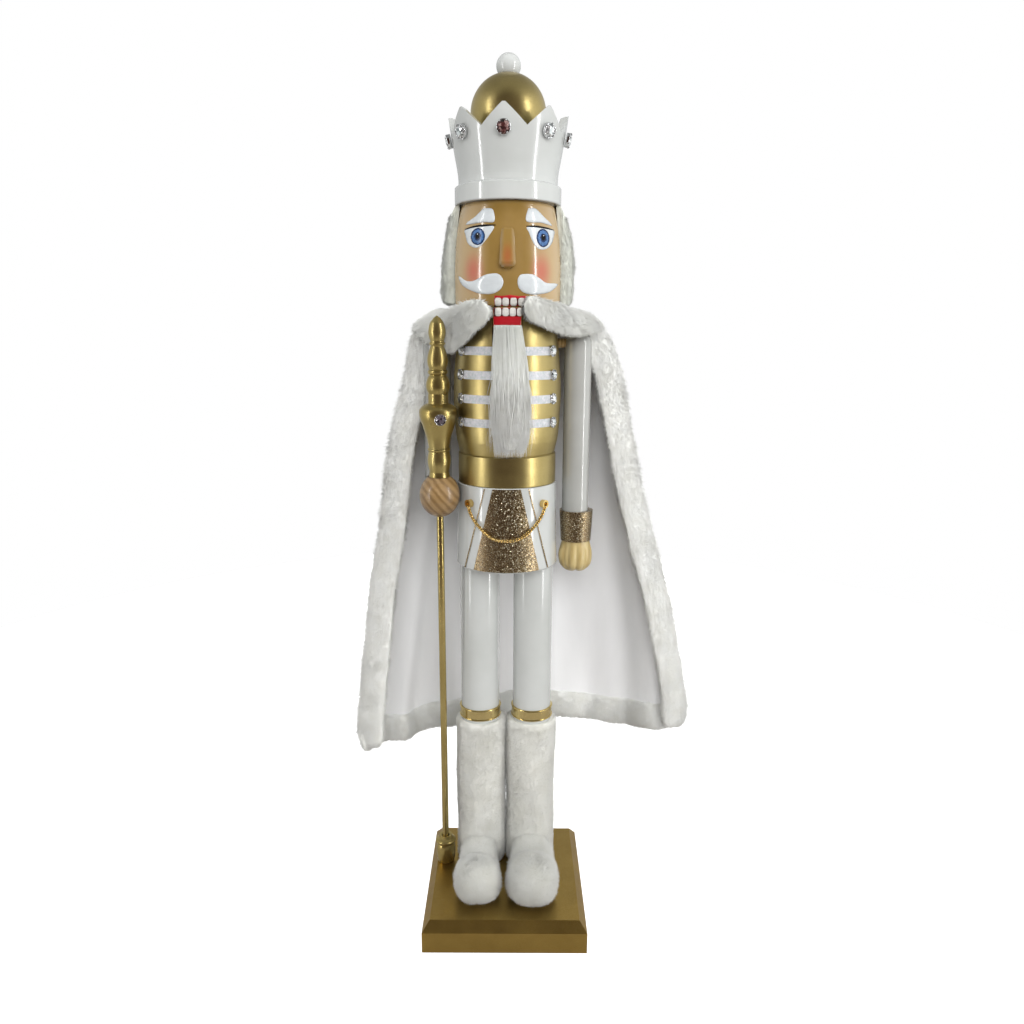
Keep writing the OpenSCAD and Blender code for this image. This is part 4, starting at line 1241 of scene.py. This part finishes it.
def face():
    """Painted features. The upper teeth are on the head, and the lower ones and their lip on the jaw."""
    for word in SIDES:
        decal(f"{word}_brow", BROWS[word], "white_enamel", 0.5, dome=0.5)
        decal(f"{word}_eye", EYES[word], "white_enamel", 0.25)
        x, z, a, b = IRIS[word]
        decal(f"{word}_iris_rim", ellipse(x, z, a, b, 18), "iris_dark", 0.4, grain=1.3)
        decal(f"{word}_iris", ellipse(x, z - 0.1, a - 0.9, b - 1.0, 18), "iris_blue", 0.5, grain=1.2)
        decal(f"{word}_iris_heart", ellipse(x, z, a * 0.56, b * 0.56, 18), "iris_dark", 0.58, grain=1.0)
        decal(f"{word}_pupil", ellipse(*PUPIL[word]), "black_enamel", 0.66, grain=1.0)
        decal(f"{word}_glint", ellipse(*GLINT[word], 0.95, 0.95, 10), "glint", 0.78, grain=0.6)
        lid = stroke(LIDS[word], (0.8, 1.7, 1.9, 1.8, 0.9))
        decal(f"{word}_lid", lid, "black_enamel", 0.5, steps=1, grain=1.0)
        decal(f"{word}_moustache", MOUSTACHE[word], "white_enamel", 0.6, dome=0.7)
    straight = {"steps": 1, "grain": 1.5}
    enamelled = {"steps": 1, "grain": 1.2, "dome": 0.4}
    on_jaw = {"skin": JAW_SKIN, "body": "jaw"}
    jaw_low, jaw_mid, jaw_high = -FACE_X - 13.6, -FACE_X, -FACE_X + 13.6
    upper_lip = [(-11.1, 671.3), (4.5, 671.3), (20.2, 671.3), (20.4, 676), (20.2, 681.7), (4.5, 682.2),
                 (-11.1, 681.7), (-11.3, 676)]
    decal("upper_lip", upper_lip, "red_enamel", 0.22, **straight)
    decal("upper_teeth_line", block(-11.0, 20.1, 671.05, 672.0), "black_enamel", 0.3, **straight)
    decal("upper_teeth_shade", block(-11.0, 20.0, 671.9, 679.4), "dark_red_enamel", 0.3, **straight)
    for i, x in enumerate(UPPER_TEETH):
        decal(f"upper_tooth_{i + 1}", tooth(x, 675.6, 6.4, 7.9), "tooth", 0.75, **enamelled)
    lower_lip = [(jaw_low, 652.6), (jaw_mid, 652.6), (jaw_high, 652.6), (jaw_high, 661), (jaw_high, 670.2),
                 (jaw_mid, 670.2), (jaw_low, 670.2), (jaw_low, 661)]
    decal("lower_lip", lower_lip, "red_enamel", 0.22, **straight, **on_jaw)
    decal("lower_teeth_shade", block(jaw_low + 0.3, jaw_high - 0.3, 661.2, 670.2), "dark_red_enamel", 0.3,
          **straight, **on_jaw)
    decal("lower_teeth_line", block(jaw_low + 0.3, jaw_high - 0.3, 669.9, 670.5), "black_enamel", 0.4,
          **straight, **on_jaw)
    for i, x in enumerate(LOWER_TEETH):
        decal(f"lower_tooth_{i + 1}", tooth(x, 666.0, 6.3, 8.2), "tooth", 0.75, **enamelled, **on_jaw)


face()


# ---------------------------------------------------------------- stones

def gem(radius):
    """A round brilliant's crown: girdle, eight main facets, star facets and table, closed below."""
    a8 = np.linspace(0, 2 * np.pi, 8, endpoint=False)
    a16 = np.linspace(0, 2 * np.pi, 16, endpoint=False)

    def ring(r, z, a):
        return np.stack([r * np.cos(a), r * np.sin(a), np.full(len(a), z)], 1)

    girdle = ring(radius, 0, a16)
    mid = ring(radius * 0.80, radius * 0.22, a8 + np.pi / 8)
    table = ring(radius * 0.52, radius * 0.36, a8)
    foot = ring(radius, -radius * 0.25, a16)
    verts = np.vstack([girdle, mid, table, foot, [[0, 0, radius * 0.36]], [[0, 0, -radius * 0.25]]])
    g, m, t, f, hub, base = 0, 16, 24, 32, 48, 49
    tris = []
    for i in range(8):
        j = (i + 1) % 8
        tris += [[g + 2 * i, g + 2 * i + 1, m + i], [g + 2 * i + 1, g + (2 * i + 2) % 16, m + i],
                 [g + 2 * i, m + i, t + i], [g + (2 * i + 2) % 16, t + j, m + i], [m + i, t + j, t + i],
                 [g + 2 * i, t + i, m + (i + 7) % 8], [t + i, t + j, hub]]
    for i in range(16):
        j = (i + 1) % 16
        tris += [[f + i, f + j, g + j], [f + i, g + j, g + i], [f + j, f + i, base]]
    return verts, np.array(tris)


def setting(radius, height):
    """A plain cup with a rolled rim and six claws over the stone's edge."""
    profile = [(0.98, -height / radius), (0.98, -0.2), (1.0, 0.0), (0.97, 0.1), (0.88, 0.1), (0.84, 0.0),
               (0.84, -0.12)]
    parts = [lathe([(radius * r, radius * z) for r, z in profile], 32)]
    for a in np.linspace(0, 2 * np.pi, 6, endpoint=False):
        d = np.array([math.cos(a), math.sin(a), 0])
        claw = np.array([d * 0.97, d * 0.93 + UP * 0.16, d * 0.74 + UP * 0.26]) * radius
        parts.append(tube(curve(claw, 3), radius * 0.085, 6))
    return join(parts)


def islands(node):
    """The corners of each separate solid of a CAD node, by its connected faces."""
    mesh = nodes[node].data
    co = np.array([tuple(v.co) for v in mesh.vertices])
    keys = {}
    owner = [keys.setdefault(tuple(np.round(c, 6)), len(keys)) for c in co]
    parent = list(range(len(keys)))

    def root(i):
        while parent[i] != i:
            parent[i] = parent[parent[i]]
            i = parent[i]
        return i

    for p in mesh.polygons:
        first = root(owner[p.vertices[0]])
        for v in p.vertices:
            parent[root(owner[v])] = first
    groups = {}
    for i, c in enumerate(co):
        groups.setdefault(root(owner[i]), []).append(c)
    return [np.array(g) for g in groups.values()]


def jewels(node, body, radius, stand, colour, axis=(0, AXIS_Y, 0), tilt=0.0):
    """Set stones in place of a CAD node's plain discs, each facing away from an upright axis and tilted down.
    stand is how far the girdles lie below the discs' faces, and colour(middle) names each stone's paint."""
    slot = next(p["material_slot"] for p in frame["record"]["subparts"] if p["node"] == node)
    stones, sets = {}, []
    for disc in sorted(islands(node), key=lambda g: (round(float(g[:, 2].mean()), 3), float(g[:, 0].mean()))):
        mid = (disc.min(0) + disc.max(0)) / 2
        out = unit((mid - np.array(axis)) * [1, 1, 0])
        facing = unit(out * math.cos(tilt) - UP * math.sin(tilt))
        at = mid + facing * (np.max(disc @ facing) - mid @ facing - stand)
        cut = placed(gem(radius * 0.86), at + facing * radius * 0.04, facing)
        stones.setdefault(colour(mid), []).append(cut)
        sets.append(placed(setting(radius, 3.2 * MM), at, facing))
    add(f"{node}_settings", join(sets), "silver", body=body, slot=slot)
    for paint, parts in stones.items():
        add(f"{node}_{paint}s", join(parts), paint, body=body, slot=slot, smooth=False, replaces=[node])


def crown_colour(at):
    """The stone at the front of the crown is dark red; the others are clear."""
    return "red_stone" if abs(at[0]) < 12 * MM and at[1] < AXIS_Y else "stone"


jewels("crown_jewels", "figure", 7.0 * MM, 2.0 * MM, crown_colour, tilt=math.radians(13))
jewels("chest_jewels", "figure", 5.7 * MM, 1.0 * MM, lambda at: "stone")
behind_jewel = middle("staff_jewel").y + 21 * MM * math.cos(math.radians(10))
jewels("staff_jewel", "staff", 6.0 * MM, 1.8 * MM, lambda at: "dark_stone",
       axis=(middle("staff_finial").x, behind_jewel, 0))


# ---------------------------------------------------------------- the hanging hand

def hand():
    """A closed carved fist: finger grooves in front, a thumb on the inside and a notch below."""
    low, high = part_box("hanging_hand")
    x, y, tall = (low.x + high.x) / 2, (low.y + high.y) / 2, high.z - low.z
    a = np.linspace(0, 2 * np.pi, 96, endpoint=False)
    front = (a + np.pi / 2 + np.pi) % (2 * np.pi) - np.pi      # 0 faces -Y
    profile = curve([(0.0, 15.3), (0.12, 16.3), (0.32, 18.2), (0.55, 18.6), (0.75, 17.2), (0.9, 12.6),
                     (0.975, 6.5)], 6)
    rings = []
    for share, r in profile[::-1]:
        fade = np.clip(share / 0.3, 0, 1) * np.clip((1.02 - share) / 0.1, 0, 1)
        rr = np.full(len(a), r)
        for at, depth in ((-0.55, 1.5), (0.02, 1.9), (0.55, 1.5), (1.15, 1.2)):
            rr = rr - fade * depth * np.exp(-((front - at) / 0.10) ** 2)
        thumb = np.exp(-((front + 1.15) / 0.30) ** 2) * np.exp(-((share - 0.42) / 0.26) ** 2)
        rr = rr + 1.9 * thumb - 1.3 * np.exp(-((front + 0.80) / 0.09) ** 2) * fade
        notch = 1.6 * max(0.0, (share - 0.8) / 0.2) * np.exp(-((np.abs(front) - 0.1) / 0.35) ** 2)
        xy = np.stack([x + np.cos(a) * rr * MM, y + np.sin(a) * (rr - notch) * 0.96 * MM], 1)
        z = np.full(len(a), high.z - share * tall)
        z = z + 1.4 * MM * np.clip(share - 0.85, 0, 1) * 6 * np.exp(-((xy[:, 0] - x) / (3 * MM)) ** 2)
        rings.append(np.column_stack([xy, z]))
    add("carved_hand", check_out(loft(rings)), "pale_wood", slot="bare_wood", replaces=["hanging_hand"])


hand()


# ---------------------------------------------------------------- floor and light

def floor():
    """A pale disc that fades into the white backdrop at its rim. What it throws back on the object is dimmer."""
    p = Paint("floor", (0.8, 0.8, 0.8), 0.7)
    p.set("Emission Color", (1, 1, 1, 1))
    p.feed("Emission Strength", p.span(p.spot((0, 0.1, 0), (1, 1, 1)), (0, 1), (1.05, 0.62)))
    dim = p.new("ShaderNodeBsdfDiffuse", Color=(0.34, 0.32, 0.30, 1))
    p.link(p.by_camera(p.bsdf.outputs[0], dim.outputs[0]), p.nodes["Material Output"].inputs["Surface"])
    a = np.linspace(0, 2 * np.pi, 96, endpoint=False)
    mesh = bpy.data.meshes.new("floor")
    mesh.from_pydata(np.stack([1.25 * np.cos(a), 0.35 + 1.25 * np.sin(a), np.zeros(96)], 1).tolist(), [],
                     [list(range(96))])
    mesh.materials.append(p.mat)
    obj = bpy.data.objects.new("floor", mesh)
    obj.location = (0, 0, -0.5 * MM)
    bpy.context.scene.collection.objects.link(obj)


floor()
make_stage()
